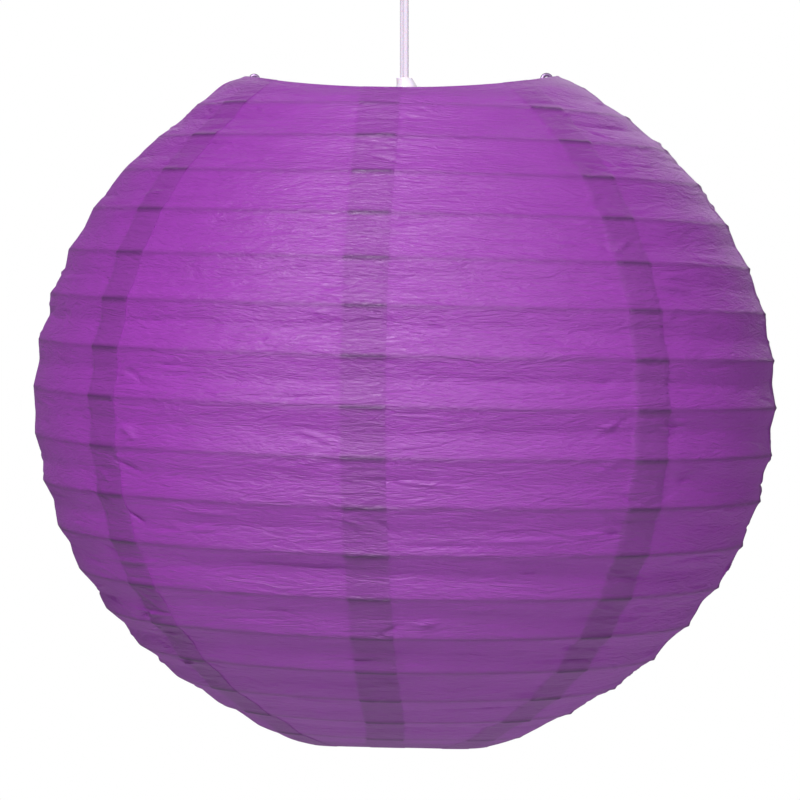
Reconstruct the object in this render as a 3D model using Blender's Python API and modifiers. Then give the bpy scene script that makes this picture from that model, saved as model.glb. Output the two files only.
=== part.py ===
"""Hanging paper lantern light: ceiling rose, twin flex, lampholder, bulb, wire expander and paper shade.

Metres, +Z up. The origin is the centre of the ceiling rose's back face, and the lantern hangs below it.
+X runs from one expander leg to the other, and -Y is the front.
"""
from math import asin, cos, hypot, pi, radians, sin, tan

import bmesh
import bpy
import numpy as np
from mathutils import Matrix, Vector

GAP = 0.0003                # between neighbours that touch in the real object

# Shade: a slightly flattened globe of paper over one spiral wire
SHADE_RADIUS = 0.150        # outside of the paper, at the equator
SHADE_HALF_HEIGHT = 0.1415  # of the whole globe that the two rims cut short
PAPER = 0.0003              # paper with its glue
GORES = 8
FIRST_SEAM = radians(39.0)  # azimuths run anticlockwise from +X, seen from above
GORE_COLUMNS = 4
GORE_ROWS = 18
RIM_PULL_ANGLE = radians(16.0)  # how far from a rim its pull still bends the paper
# Each rim, measured on the paper's outside: mean radius, how much less it is across X, shift along X,
# lift off the globe, more lift at +-X than the mean, and tilt down towards +X
TOP_RIM = {"radius": 0.0709, "narrow": 0.0062, "shift": -0.0012, "lift": 0.0019, "saddle": 0.0006,
           "tilt": 0.0}
LOW_RIM = {"radius": 0.0388, "narrow": 0.0, "shift": -0.0031, "lift": -0.0018, "saddle": -0.0012,
           "tilt": -0.0008}
RIM_WIRE = 0.0016

# Rib: one left-handed spiral, its angle down from the top and its pitch a turn
RIB_WIRE = 0.0010
RIB_ROOM = SHADE_RADIUS / 300  # between the rib wire and the paper, whose flat facets cut in a little
RIB_PITCH = radians(7.7)
RIB_AT_ZERO = radians(45.2)  # a turn's angle down from the top, where it crosses +X
RIB_BELOW_TOP = radians(1.2)   # from the top rim's lowest point to the rib's first turn
RIB_ABOVE_FOOT = radians(3.6)  # from the rib's last turn to the bottom rim
RIB_STEPS = GORES * GORE_COLUMNS // 2  # a turn, so that each point lies under a column of the paper

# Expander: bent spring wire that pushes the two rims apart
EXPANDER_WIRE = 0.0016
HOOK_ROOM = 0.0010          # between a hook and its rim ring
EYELET_RADIUS = 0.0019      # right hook's coil, at the middle of the wire
HOOK_RADIUS = 0.0016        # left hook's bend
BRIDGE_DROP = 0.0080        # bridge wires' ends below the eyelet
BRIDGE_RUN = 0.0070         # level stretch at each end of a bridge wire
FOOT_SPREAD = 0.0030        # between the two runs of a foot's hairpin
BEND = 0.0030               # radius of the other bends
BEND_STEPS = 8
COIL_STEPS = 18

# What the lampholder is sized from
BULB_CAP_RADIUS = 0.0131    # over the thread
FLEX_WIDTH = 0.0046

# Lampholder, heights from the carrier ring's plane
HOLDER_BELOW_RIM = 0.03865  # carrier ring's plane below the top rim at +-X
SKIRT_RADIUS = BULB_CAP_RADIUS + 0.0059
SKIRT_WALL = 0.0025
SKIRT_LENGTH = 0.0295
COLLAR_RADIUS = SKIRT_RADIUS + 0.0040
COLLAR_HEIGHT = 0.0045
HOLDER_RADIUS = SKIRT_RADIUS + 0.0005
BODY_TOP = 0.0120
CAP_RADIUS = HOLDER_RADIUS + 0.0010
CAP_WALL = 0.0016
CAP_HEIGHT = 0.0207
GRIP_RADIUS = FLEX_WIDTH / 2 + 0.0032
GRIP_TIP = 0.0385
GRIP_FOOT = 0.0250
GRIP_FLANGE = GRIP_RADIUS + 0.0013
NECK_RADIUS = GRIP_RADIUS + 0.0025
GRIP_WALL = 0.0005          # at the tip
NECK_HEIGHT = 0.0030
DOME_RISE = 0.0045          # cap's dome above the body's top
LEDGE_DROP = 0.0020         # ledge that the contact carrier stands on, below the carrier ring's plane
LEDGE_HEIGHT = 0.0025
CONTACT_RADIUS = 0.0035
POST_OFFSET = 0.0085
POST_RADIUS = 0.0022
POST_HEIGHT = 0.0035
FLEX_END = 0.0220
CARRIER_WIRE = 0.0024
SHADE_RING_RADIUS = SKIRT_RADIUS + 0.0080
SHADE_RING_HEIGHT = 0.0090
SHADE_RING_WALL = 0.0026
THREAD_ROOM = 0.0004

# Bulb, heights down from its tip
TIP_BELOW_SEAT = 0.0055
BULB_CAP_LENGTH = 0.0250
SCREW_SHELL_ROOM = 0.0006
SCREW_SHELL_WALL = 0.0005
BULB_RADIUS = 0.0298
BULB_LENGTH = 0.1080
DIFFUSER_START = 0.0663
BULB_WALL = 0.0014
BULB_TIP_RADIUS = 0.0045
BULB_TIP_DEPTH = 0.0013
BULB_SHOULDER = 0.0028
HOUSING_NECK = 0.0060       # of the housing inside the cap
LED_BOARD_RISE = 0.0045
LED_BOARD_ROOM = 0.0030
DRIVER_SIZE = (0.0140, 0.0016, 0.0220)

# Flex: two cores side by side
CORE_RADIUS = 0.0011
CORE_OFFSET = 0.0013
FLEX_DROP = 0.0485          # from the rose's grommet to the tip of the lampholder's grip
FLEX_POINTS = 10
END_TILT_ROOM = 0.0011      # lets the flex's end face tilt as the lantern swings

# Ceiling rose
ROSE_RADIUS = 0.0380
ROSE_WALL = 0.0020
ROSE_DEPTH = 0.0380
PIVOT_DROP = 0.0360         # the lantern swings about the grommet's centre
GROMMET_BORE = FLEX_WIDTH / 2 + 0.0014  # lets the flex's tail tilt
GROMMET_RADIUS = GROMMET_BORE + 0.0017
GROMMET_HALF_HEIGHT = 0.0025
BASE_RADIUS = 0.0330
BASE_DEPTH = 0.0040
SCREW_SPACING = 0.0500
SCREW_RADIUS = 0.0020
CABLE_ENTRY_RADIUS = 0.0050
CABLE_ENTRY_OFFSET = 0.0150
LUG_DEPTH = 0.0018          # two lugs on the base's edge hold the cover's tabs up
LUG_WIDTH = 0.0100
LUG_REACH = 0.0022
TAB_ROOM = 0.0010           # between a tab and the base's edge
ROSE_SIDE = 0.0100          # height of the cover's straight side
BOSS_HEIGHT = 0.0030
BLOCK_SIZE = (0.0300, 0.0140, 0.0090)
ANCHOR_SPAN = 0.0400
ANCHOR_DEPTH = 0.0240
ANCHOR_BAR = 0.0040
ANCHOR_WIDTH = 0.0090
ANCHOR_ROOM = 0.0018        # beside the terminal block
BLOCK_EDGE = 0.0008
TAIL_RISE = 0.0013          # of the flex's tail through the anchor's bar
TERMINAL_HEAD = 0.0018

SEGMENTS = 24               # round a turned piece
MEDIUM_SEGMENTS = 16
SMALL_SEGMENTS = 12
SHARP = radians(35)
MERGE = 0.00001             # points nearer than this become one
MOST_OF_SIDE = 0.45         # of a path's side that the arc at one end may take

PALE = (0.84, 0.80, 0.86)
PURPLE = (0.29, 0.10, 0.37)
BRASS = ((0.80, 0.62, 0.30), 0.3, 1.0)
STEEL = ((0.70, 0.70, 0.70), 0.3, 1.0)
PURPLE_WIRE = (PURPLE, 0.4, 0.6)
MOULDING = (PALE, 0.35)
CORE_SLEEVE = (PALE, 0.5)
ROSE_WHITE = ((0.90, 0.89, 0.90), 0.35)

bodies = bpy.data.collections.new("paper_lantern_light")
cutters = bpy.data.collections.new("cutters")


def clear_scene():
    """Remove what the file holds, and link the part's two collections."""
    for old in list(bpy.data.objects):
        bpy.data.objects.remove(old, do_unlink=True)
    for collection in (bodies, cutters):
        bpy.context.scene.collection.children.link(collection)


def material(name, colour, roughness=0.5, metallic=0.0):
    """A Principled material for one piece."""
    made = bpy.data.materials.new(name)
    made.use_nodes = True
    shader = made.node_tree.nodes["Principled BSDF"]
    shader.inputs["Base Color"].default_value = (*colour, 1.0)
    shader.inputs["Roughness"].default_value = roughness
    shader.inputs["Metallic"].default_value = metallic
    return made


def finish(obj, parent, look, collection=bodies):
    """Give an object its material, its parent and its collection."""
    for old in list(obj.users_collection):
        old.objects.unlink(obj)
    collection.objects.link(obj)
    obj.parent = parent
    if look:
        obj.data.materials.append(material(obj.name, *look))
    return obj


def pivot(name, height, parent=None):
    """An empty on a joint's axis; height is above its parent's."""
    empty = bpy.data.objects.new(name, None)
    empty.empty_display_size = 0.01
    empty.location = (0.0, 0.0, height)
    empty.parent = parent
    bodies.objects.link(empty)
    return empty


def settle(obj):
    """Replace an object's modifiers and mesh by the mesh that they make, smooth apart from its hard edges."""
    graph = bpy.context.evaluated_depsgraph_get()
    mesh = bpy.data.meshes.new_from_object(obj.evaluated_get(graph))
    shape = bmesh.new()
    shape.from_mesh(mesh)
    bmesh.ops.remove_doubles(shape, verts=shape.verts, dist=MERGE)
    bmesh.ops.recalc_face_normals(shape, faces=shape.faces)
    shape.to_mesh(mesh)
    shape.free()
    mesh.name = obj.name
    mesh.shade_smooth()
    mesh.set_sharp_from_angle(angle=SHARP)
    obj.modifiers.clear()
    obj.data = mesh


def turned(name, profile, parent, look, closed=True, segments=SEGMENTS, x=0.0):
    """A piece turned about Z, its axis at x. The profile's (radius, height) points run down the outside; a
    closed one is a tube's section, and an open one starts and ends on the axis."""
    count = len(profile)
    edges = [(i, i + 1) for i in range(count - 1)]
    if closed:
        edges.append((count - 1, 0))
    outline = bpy.data.meshes.new(name)
    outline.from_pydata([(r, 0.0, z) for r, z in profile], edges, [])
    obj = bpy.data.objects.new(name, outline)
    obj.location.x = x
    screw = obj.modifiers.new("turn", "SCREW")
    screw.steps = segments
    screw.render_steps = segments
    screw.use_merge_vertices = True
    screw.merge_threshold = MERGE
    finish(obj, parent, None)
    settle(obj)
    obj.data.materials.append(material(name, *look))
    return obj


def wire(name, points, radius, parent, look, cyclic=False):
    """A round wire or cord through the points."""
    curve = bpy.data.curves.new(name, "CURVE")
    curve.dimensions = "3D"
    curve.bevel_depth = radius
    curve.bevel_resolution = 2
    curve.use_fill_caps = True
    spline = curve.splines.new("POLY")
    spline.points.add(len(points) - 1)
    spline.points.foreach_set("co", [c for p in points for c in (*p, 1.0)])
    spline.use_cyclic_u = cyclic
    spline.use_smooth = True
    return finish(bpy.data.objects.new(name, curve), parent, look)


def block(name, size, place, parent, look, bevel=0.0, collection=bodies):
    """A box with its scale applied, and rounded edges where bevel is set."""
    bpy.ops.mesh.primitive_cube_add(size=1.0)
    obj = bpy.context.object
    obj.name = name
    obj.data.name = name
    obj.data.transform(Matrix.Diagonal((*size, 1.0)))
    obj.location = place
    if bevel:
        rounded = obj.modifiers.new("bevel", "BEVEL")
        rounded.width = bevel
        rounded.segments = 2
    return finish(obj, parent, look, collection)


def cutter(name, radius, length, place, parent):
    """A cylinder along Z that cuts a hole."""
    bpy.ops.mesh.primitive_cylinder_add(vertices=SMALL_SEGMENTS, radius=radius, depth=length)
    obj = bpy.context.object
    obj.name = name
    obj.location = place
    obj.hide_render = True
    obj.display_type = "WIRE"
    return finish(obj, parent, None, cutters)


def boolean(obj, other, operation):
    """Cut the other object out of this one, or join it on."""
    step = obj.modifiers.new(operation.lower(), "BOOLEAN")
    step.operation = operation
    step.object = other
    other.hide_render = True
    other.display_type = "WIRE"


def rounded(points, radius, steps=4):
    """The path with each inner corner replaced by an arc of this radius, or of what its sides leave."""
    path = [Vector(p) for p in points]
    out = [path[0]]
    for before, corner, after in zip(path, path[1:], path[2:]):
        to_before = (before - corner).normalized()
        to_after = (after - corner).normalized()
        half = to_before.angle(to_after) / 2
        room = MOST_OF_SIDE * min((before - corner).length, (after - corner).length)
        reach = min(radius / tan(half), room)
        middle = corner + (to_before + to_after).normalized() * hypot(reach, reach * tan(half))
        first = corner + to_before * reach - middle
        last = corner + to_after * reach - middle
        turn = first.angle(last)
        for k in range(steps + 1):
            share = k / steps
            mixed = (first * sin((1 - share) * turn) + last * sin(share * turn)) / sin(turn)
            out.append(middle + mixed)
    out.append(path[-1])
    return out


def on_circle(centre, radius, angle):
    """A point on a circle in the XZ plane, its angle from +X towards +Z."""
    return centre + Vector((radius * cos(angle), 0.0, radius * sin(angle)))


# Shade


def rim_angle(rim, azimuth):
    """A rim's angle down from the top of the globe."""
    angle = asin((rim["radius"] - rim["narrow"] * cos(2 * azimuth)) / SHADE_RADIUS)
    return angle if rim is TOP_RIM else pi - angle


def shade_point(theta, azimuth, inset=0.0):
    """A point of the globe, inset from the paper's outside, and pulled over to each rim's place near it."""
    flat = (SHADE_RADIUS - inset) * sin(theta)
    point = Vector((flat * cos(azimuth), flat * sin(azimuth), (SHADE_HALF_HEIGHT - inset) * cos(theta)))
    for rim in (TOP_RIM, LOW_RIM):
        share = 1.0 - abs(theta - rim_angle(rim, azimuth)) / RIM_PULL_ANGLE
        share = min(max(share, 0.0), 1.0)
        pull = share * share * (3.0 - 2.0 * share)
        lift = rim["lift"] + rim["saddle"] * cos(2 * azimuth) + rim["tilt"] * cos(azimuth)
        point += pull * Vector((rim["shift"], 0.0, lift))
    return point


def rim_point(rim, azimuth):
    """A point on the middle of a rim ring's wire, which lies inside the paper's edge."""
    inset = PAPER + GAP + RIM_WIRE / 2
    edge = shade_point(rim_angle(rim, azimuth), azimuth)
    centre = Vector((rim["shift"], 0.0, 0.0))
    out = Vector((edge.x, edge.y, 0.0)) - centre
    flat = centre + out.normalized() * (out.length - inset)
    inwards = -1.0 if rim is TOP_RIM else 1.0
    return Vector((flat.x, flat.y, edge.z + inwards * RIM_WIRE / 2))


def rim_ring(name, rim, parent):
    """The wire ring in the paper's edge."""
    azimuths = FIRST_SEAM + np.linspace(0.0, 2 * pi, GORES * GORE_COLUMNS, endpoint=False)
    wire(name, [rim_point(rim, a) for a in azimuths], RIM_WIRE / 2, parent, PURPLE_WIRE, cyclic=True)


def gore(number, parent):
    """One leaf of the globe: an open sheet between two seams and two rims, given the paper's thickness."""
    rows = []
    for i in range(GORE_ROWS + 1):
        for j in range(GORE_COLUMNS + 1):
            azimuth = FIRST_SEAM + 2 * pi * (number - 1 + j / GORE_COLUMNS) / GORES
            top = rim_angle(TOP_RIM, azimuth)
            theta = top + (rim_angle(LOW_RIM, azimuth) - top) * i / GORE_ROWS
            side = {0: 1.0, GORE_COLUMNS: -1.0}.get(j, 0.0)
            azimuth += side * GAP / 2 / (SHADE_RADIUS * sin(theta))
            rows.append(shade_point(theta, azimuth))
    width = GORE_COLUMNS + 1
    corners = [i * width + j for i in range(GORE_ROWS) for j in range(GORE_COLUMNS)]
    name = f"paper_gore_{number}"
    mesh = bpy.data.meshes.new(name)
    mesh.from_pydata(rows, [], [(c, c + width, c + width + 1, c + 1) for c in corners])
    mesh.shade_smooth()
    obj = bpy.data.objects.new(name, mesh)
    wall = obj.modifiers.new("paper", "SOLIDIFY")
    wall.thickness = PAPER
    wall.offset = -1.0
    finish(obj, parent, (PURPLE, 0.85))


def rib(parent):
    """The spiral wire, from under the top rim to above the bottom one, falling as its azimuth grows."""
    inset = PAPER + RIB_ROOM + RIB_WIRE / 2
    seam = FIRST_SEAM / (2 * pi) % (1 / RIB_STEPS)
    start = rim_angle(TOP_RIM, pi / 2) + RIB_BELOW_TOP
    end = rim_angle(LOW_RIM, 0.0) - RIB_ABOVE_FOOT
    first = int((start - RIB_AT_ZERO) / RIB_PITCH * RIB_STEPS)
    last = int((end - RIB_AT_ZERO) / RIB_PITCH * RIB_STEPS)
    points = []
    for k in range(first, last + 1):
        turns = seam + k / RIB_STEPS
        points.append(shade_point(RIB_AT_ZERO + RIB_PITCH * turns, 2 * pi * turns, inset))
    wire("rib_wire", points, RIB_WIRE / 2, parent, PURPLE_WIRE)


# Expander


def eyelet_path(ring):
    """The right-hand end, from the leg's top: a coil that leans forward as it turns, and a tail outwards."""
    clear = RIM_WIRE / 2 + HOOK_ROOM + EXPANDER_WIRE / 2
    centre = ring - Vector((clear + EYELET_RADIUS, 0.0, 0.0))
    lean = Vector((0.0, -EXPANDER_WIRE - GAP, 0.0))
    turn = 1.5 * pi
    coil = [on_circle(centre, EYELET_RADIUS, turn * k / COIL_STEPS) + lean * k / COIL_STEPS
            for k in range(COIL_STEPS + 1)]
    tail = coil[-1].copy()
    tail.x = ring.x - RIM_WIRE / 2 - 2 * GAP
    return coil + [tail]


def hook_path(ring):
    """The left-hand end, from its tip beside the rim ring: up, over a bend and onto the leg."""
    clear = RIM_WIRE / 2 + 2 * GAP + EXPANDER_WIRE / 2
    centre = ring + Vector((clear + HOOK_RADIUS, 0.0, 0.0))
    bend = [on_circle(centre, HOOK_RADIUS, pi * (1 - k / BEND_STEPS)) for k in range(BEND_STEPS + 1)]
    return [bend[0] - Vector((0.0, 0.0, 2 * HOOK_RADIUS))] + bend


def foot_path(ring, side):
    """A hairpin that bears on the bottom ring from above, and the corner under the leg; it starts at the bar."""
    half = FOOT_SPREAD / 2
    height = ring.z + RIM_WIRE / 2 + GAP + EXPANDER_WIRE / 2
    middle = ring.x - side * half / 2
    turn = [Vector((middle + side * half * cos(a), half * sin(a), height))
            for a in np.linspace(pi / 2, -pi / 2, BEND_STEPS + 1)]
    inner = ring.x - side * (RIM_WIRE / 2 + EXPANDER_WIRE + BEND)
    return turn, Vector((inner, -half, height))


def expander(parent, seat):
    """The bent wire: hook, left leg, foot, bottom bar, foot, right leg and eyelet. Then the two bridge wires,
    and the carrier ring that they hold at the height of the seat."""
    look = ((0.55, 0.50, 0.58), 0.3, 0.9)
    hook = hook_path(rim_point(TOP_RIM, pi))
    eyelet = eyelet_path(rim_point(TOP_RIM, 0.0))
    left, left_corner = foot_path(rim_point(LOW_RIM, pi), -1)
    right, right_corner = foot_path(rim_point(LOW_RIM, 0.0), 1)
    left_leg = rounded([hook[-1], left_corner, left[-1]], BEND)[1:]
    right_leg = rounded([right[-1], right_corner, eyelet[0]], BEND)[1:]
    path = hook + left_leg + left[-2::-1] + right + right_leg + eyelet[1:]
    wire("expander_wire", path, EXPANDER_WIRE / 2, parent, look)

    ring_radius = SKIRT_RADIUS + THREAD_ROOM + CARRIER_WIRE / 2
    circle = np.linspace(0.0, 2 * pi, SEGMENTS, endpoint=False)
    ring = [(ring_radius * cos(a), ring_radius * sin(a), seat) for a in circle]
    wire("carrier_ring", ring, CARRIER_WIRE / 2, parent, look, cyclic=True)
    for name, side, top, bottom in (("bridge_left", -1, hook[-1], left_corner),
                                    ("bridge_right", 1, eyelet[0], right_corner)):
        start = top + (bottom - top) * BRIDGE_DROP / (top.z - bottom.z)
        start.x -= side * (EXPANDER_WIRE / 2 + GAP)
        end = Vector((side * (ring_radius + CARRIER_WIRE / 2 + GAP), start.y, seat))
        level = Vector((side * BRIDGE_RUN, 0.0, 0.0))
        wire(name, rounded([start, start - level, end + level, end], BEND), EXPANDER_WIRE / 2, parent, look)


# Lampholder


def lampholder(parent):
    """Heights are from the carrier ring's plane: the flex enters at the top, and the bulb from below."""
    bore = FLEX_WIDTH / 2 + GAP
    neck_bore = GRIP_RADIUS + GAP
    neck_top = BODY_TOP + GAP + CAP_HEIGHT
    dome = np.linspace(0.0, pi / 2, 5)
    dome_base = BODY_TOP + DOME_RISE
    dome_height = neck_top - NECK_HEIGHT - dome_base
    outer = [(NECK_RADIUS + (CAP_RADIUS - NECK_RADIUS) * sin(t), dome_base + dome_height * cos(t)) for t in dome]
    inner = [(NECK_RADIUS + (CAP_RADIUS - CAP_WALL - NECK_RADIUS) * sin(t),
              dome_base + (dome_height - CAP_WALL) * cos(t)) for t in dome]
    lip = BODY_TOP + GAP
    turned("holder_cap", [(NECK_RADIUS, neck_top)] + outer
           + [(CAP_RADIUS, lip), (CAP_RADIUS - CAP_WALL, lip)] + inner[::-1]
           + [(neck_bore, inner[0][1]), (neck_bore, neck_top)], parent, MOULDING)

    flange = neck_top + GAP
    turned("cord_grip", [(bore + GRIP_WALL, GRIP_TIP), (bore + 2 * GRIP_WALL, (GRIP_TIP + flange) / 2),
                         (GRIP_FLANGE, flange), (GRIP_RADIUS, flange), (GRIP_RADIUS, GRIP_FOOT),
                         (bore, GRIP_FOOT), (bore, GRIP_TIP)], parent, MOULDING, segments=MEDIUM_SEGMENTS)

    shoulder = CARRIER_WIRE / 2 + GAP
    skirt_bore = SKIRT_RADIUS - SKIRT_WALL
    shell_radius = BULB_CAP_RADIUS + SCREW_SHELL_ROOM
    ledge = shell_radius + SCREW_SHELL_WALL + GAP
    seat_radius = HOLDER_RADIUS - SKIRT_WALL
    ledge_top = -LEDGE_DROP
    turned("holder_body", [(HOLDER_RADIUS, BODY_TOP), (HOLDER_RADIUS, shoulder + COLLAR_HEIGHT),
                           (COLLAR_RADIUS, shoulder + COLLAR_HEIGHT - GAP), (COLLAR_RADIUS, shoulder),
                           (SKIRT_RADIUS, shoulder), (SKIRT_RADIUS, -SKIRT_LENGTH),
                           (skirt_bore, -SKIRT_LENGTH), (skirt_bore, ledge_top - LEDGE_HEIGHT),
                           (ledge, ledge_top - LEDGE_HEIGHT), (ledge, ledge_top),
                           (seat_radius, ledge_top), (seat_radius, BODY_TOP)], parent, MOULDING)
    carrier_foot = ledge_top + GAP
    carrier_top = BODY_TOP / 2
    turned("contact_carrier", [(0.0, carrier_top), (seat_radius - GAP, carrier_top),
                               (seat_radius - GAP, carrier_foot), (0.0, carrier_foot)],
           parent, ((0.85, 0.83, 0.78), 0.5), closed=False)
    turned("screw_shell", [(shell_radius + SCREW_SHELL_WALL, ledge_top),
                           (shell_radius + SCREW_SHELL_WALL, ledge_top - BULB_CAP_LENGTH + GAP),
                           (shell_radius, ledge_top - BULB_CAP_LENGTH + GAP), (shell_radius, ledge_top)],
           parent, BRASS)
    contact_foot = -TIP_BELOW_SEAT + GAP
    turned("centre_contact", [(0.0, ledge_top), (CONTACT_RADIUS, ledge_top),
                              (CONTACT_RADIUS, ledge_top + (contact_foot - ledge_top) / 2),
                              (CONTACT_RADIUS / 2, contact_foot), (0.0, contact_foot)],
           parent, BRASS, closed=False, segments=SMALL_SEGMENTS)
    post_top = carrier_top + GAP + POST_HEIGHT
    start = FLEX_END - GAP
    end = post_top + GAP
    for number, side in enumerate((-1, 1), 1):
        turned(f"terminal_post_{number}", [(0.0, post_top), (POST_RADIUS, post_top),
                                           (POST_RADIUS, carrier_top + GAP), (0.0, carrier_top + GAP)],
               parent, BRASS, closed=False, segments=SMALL_SEGMENTS, x=side * POST_OFFSET)
        core = rounded([(side * CORE_OFFSET, 0.0, start), (side * CORE_OFFSET, 0.0, start - 2 * CORE_RADIUS),
                        (side * POST_OFFSET, 0.0, end + 3 * CORE_RADIUS), (side * POST_OFFSET, 0.0, end)],
                       2 * CORE_RADIUS)
        wire(f"holder_core_{number}", core, CORE_RADIUS, parent, CORE_SLEEVE)


def shade_ring(parent):
    """The flanged ring that clamps the carrier ring against the lampholder's collar."""
    top = -CARRIER_WIRE / 2 - GAP
    foot = top - SHADE_RING_HEIGHT
    hub = SKIRT_RADIUS + THREAD_ROOM + SHADE_RING_WALL
    turned("shade_ring", [(SHADE_RING_RADIUS, top), (SHADE_RING_RADIUS, top - SHADE_RING_WALL),
                          (hub, top - SHADE_RING_WALL - GAP), (hub, foot),
                          (SKIRT_RADIUS + THREAD_ROOM, foot), (SKIRT_RADIUS + THREAD_ROOM, top)],
           parent, MOULDING)


def bulb(parent):
    """Heights are from the tip contact, down through the cap and the housing to the diffuser's end."""
    metal = ((0.75, 0.75, 0.76), 0.3, 1.0)
    white = ((0.92, 0.92, 0.92), 0.4)
    tip = BULB_TIP_DEPTH
    turned("bulb_tip", [(0.0, 0.0), (BULB_TIP_RADIUS - GAP, -GAP), (BULB_TIP_RADIUS, -tip), (0.0, -tip)],
           parent, metal, closed=False, segments=SMALL_SEGMENTS)
    shoulder = BULB_TIP_RADIUS * 2
    insulator_foot = -tip - GAP - BULB_SHOULDER
    turned("bulb_insulator", [(0.0, -tip - GAP), (BULB_TIP_RADIUS, -tip - GAP), (shoulder, insulator_foot),
                              (shoulder, insulator_foot - tip), (0.0, insulator_foot - tip)],
           parent, ((0.05, 0.05, 0.06), 0.2), closed=False)
    inner = BULB_CAP_RADIUS - SCREW_SHELL_WALL
    cap_top = insulator_foot
    turned("bulb_cap", [(shoulder + 2 * GAP, cap_top), (BULB_CAP_RADIUS, cap_top - BULB_SHOULDER),
                        (BULB_CAP_RADIUS, -BULB_CAP_LENGTH), (inner, -BULB_CAP_LENGTH),
                        (inner, cap_top - BULB_SHOULDER - GAP), (shoulder + GAP, cap_top - 2 * GAP)],
           parent, metal)
    neck = inner - GAP
    neck_top = -BULB_CAP_LENGTH + HOUSING_NECK
    joint = -BULB_CAP_LENGTH - GAP
    foot = -DIFFUSER_START + GAP
    flare = [(BULB_CAP_RADIUS + (BULB_RADIUS - BULB_CAP_RADIUS) * (0.5 - 0.5 * cos(pi * t)),
              joint + (foot - joint) * t) for t in np.linspace(0.0, 1.0, 7)]
    inside = [(r - BULB_WALL, z) for r, z in flare]
    inside[0] = (neck - BULB_WALL, joint)
    turned("bulb_housing", [(neck, neck_top), (neck, joint)] + flare + inside[::-1]
           + [(neck - BULB_WALL, neck_top)], parent, white)
    board_top = foot + LED_BOARD_RISE
    board_radius = BULB_RADIUS - BULB_WALL - LED_BOARD_ROOM
    turned("led_board", [(0.0, board_top), (board_radius, board_top), (board_radius, board_top - BULB_WALL),
                         (0.0, board_top - BULB_WALL)], parent, ((0.9, 0.9, 0.88), 0.4), closed=False)
    block("driver_board", DRIVER_SIZE, (0.0, 0.0, (joint + board_top) / 2), parent, ((0.10, 0.32, 0.16), 0.5))
    depth = BULB_LENGTH - DIFFUSER_START
    round_off = np.linspace(0.0, pi / 2, 8)
    outer = [(BULB_RADIUS * cos(t), -DIFFUSER_START - depth * sin(t)) for t in round_off[:-1]]
    inner = [((BULB_RADIUS - BULB_WALL) * cos(t), -DIFFUSER_START - (depth - BULB_WALL) * sin(t))
             for t in round_off[:-1]]
    turned("bulb_diffuser", [(0.0, -BULB_LENGTH + BULB_WALL)] + inner[::-1] + outer + [(0.0, -BULB_LENGTH)],
           parent, ((0.96, 0.95, 0.93), 0.4), closed=False)


# Ceiling rose and flex


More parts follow.
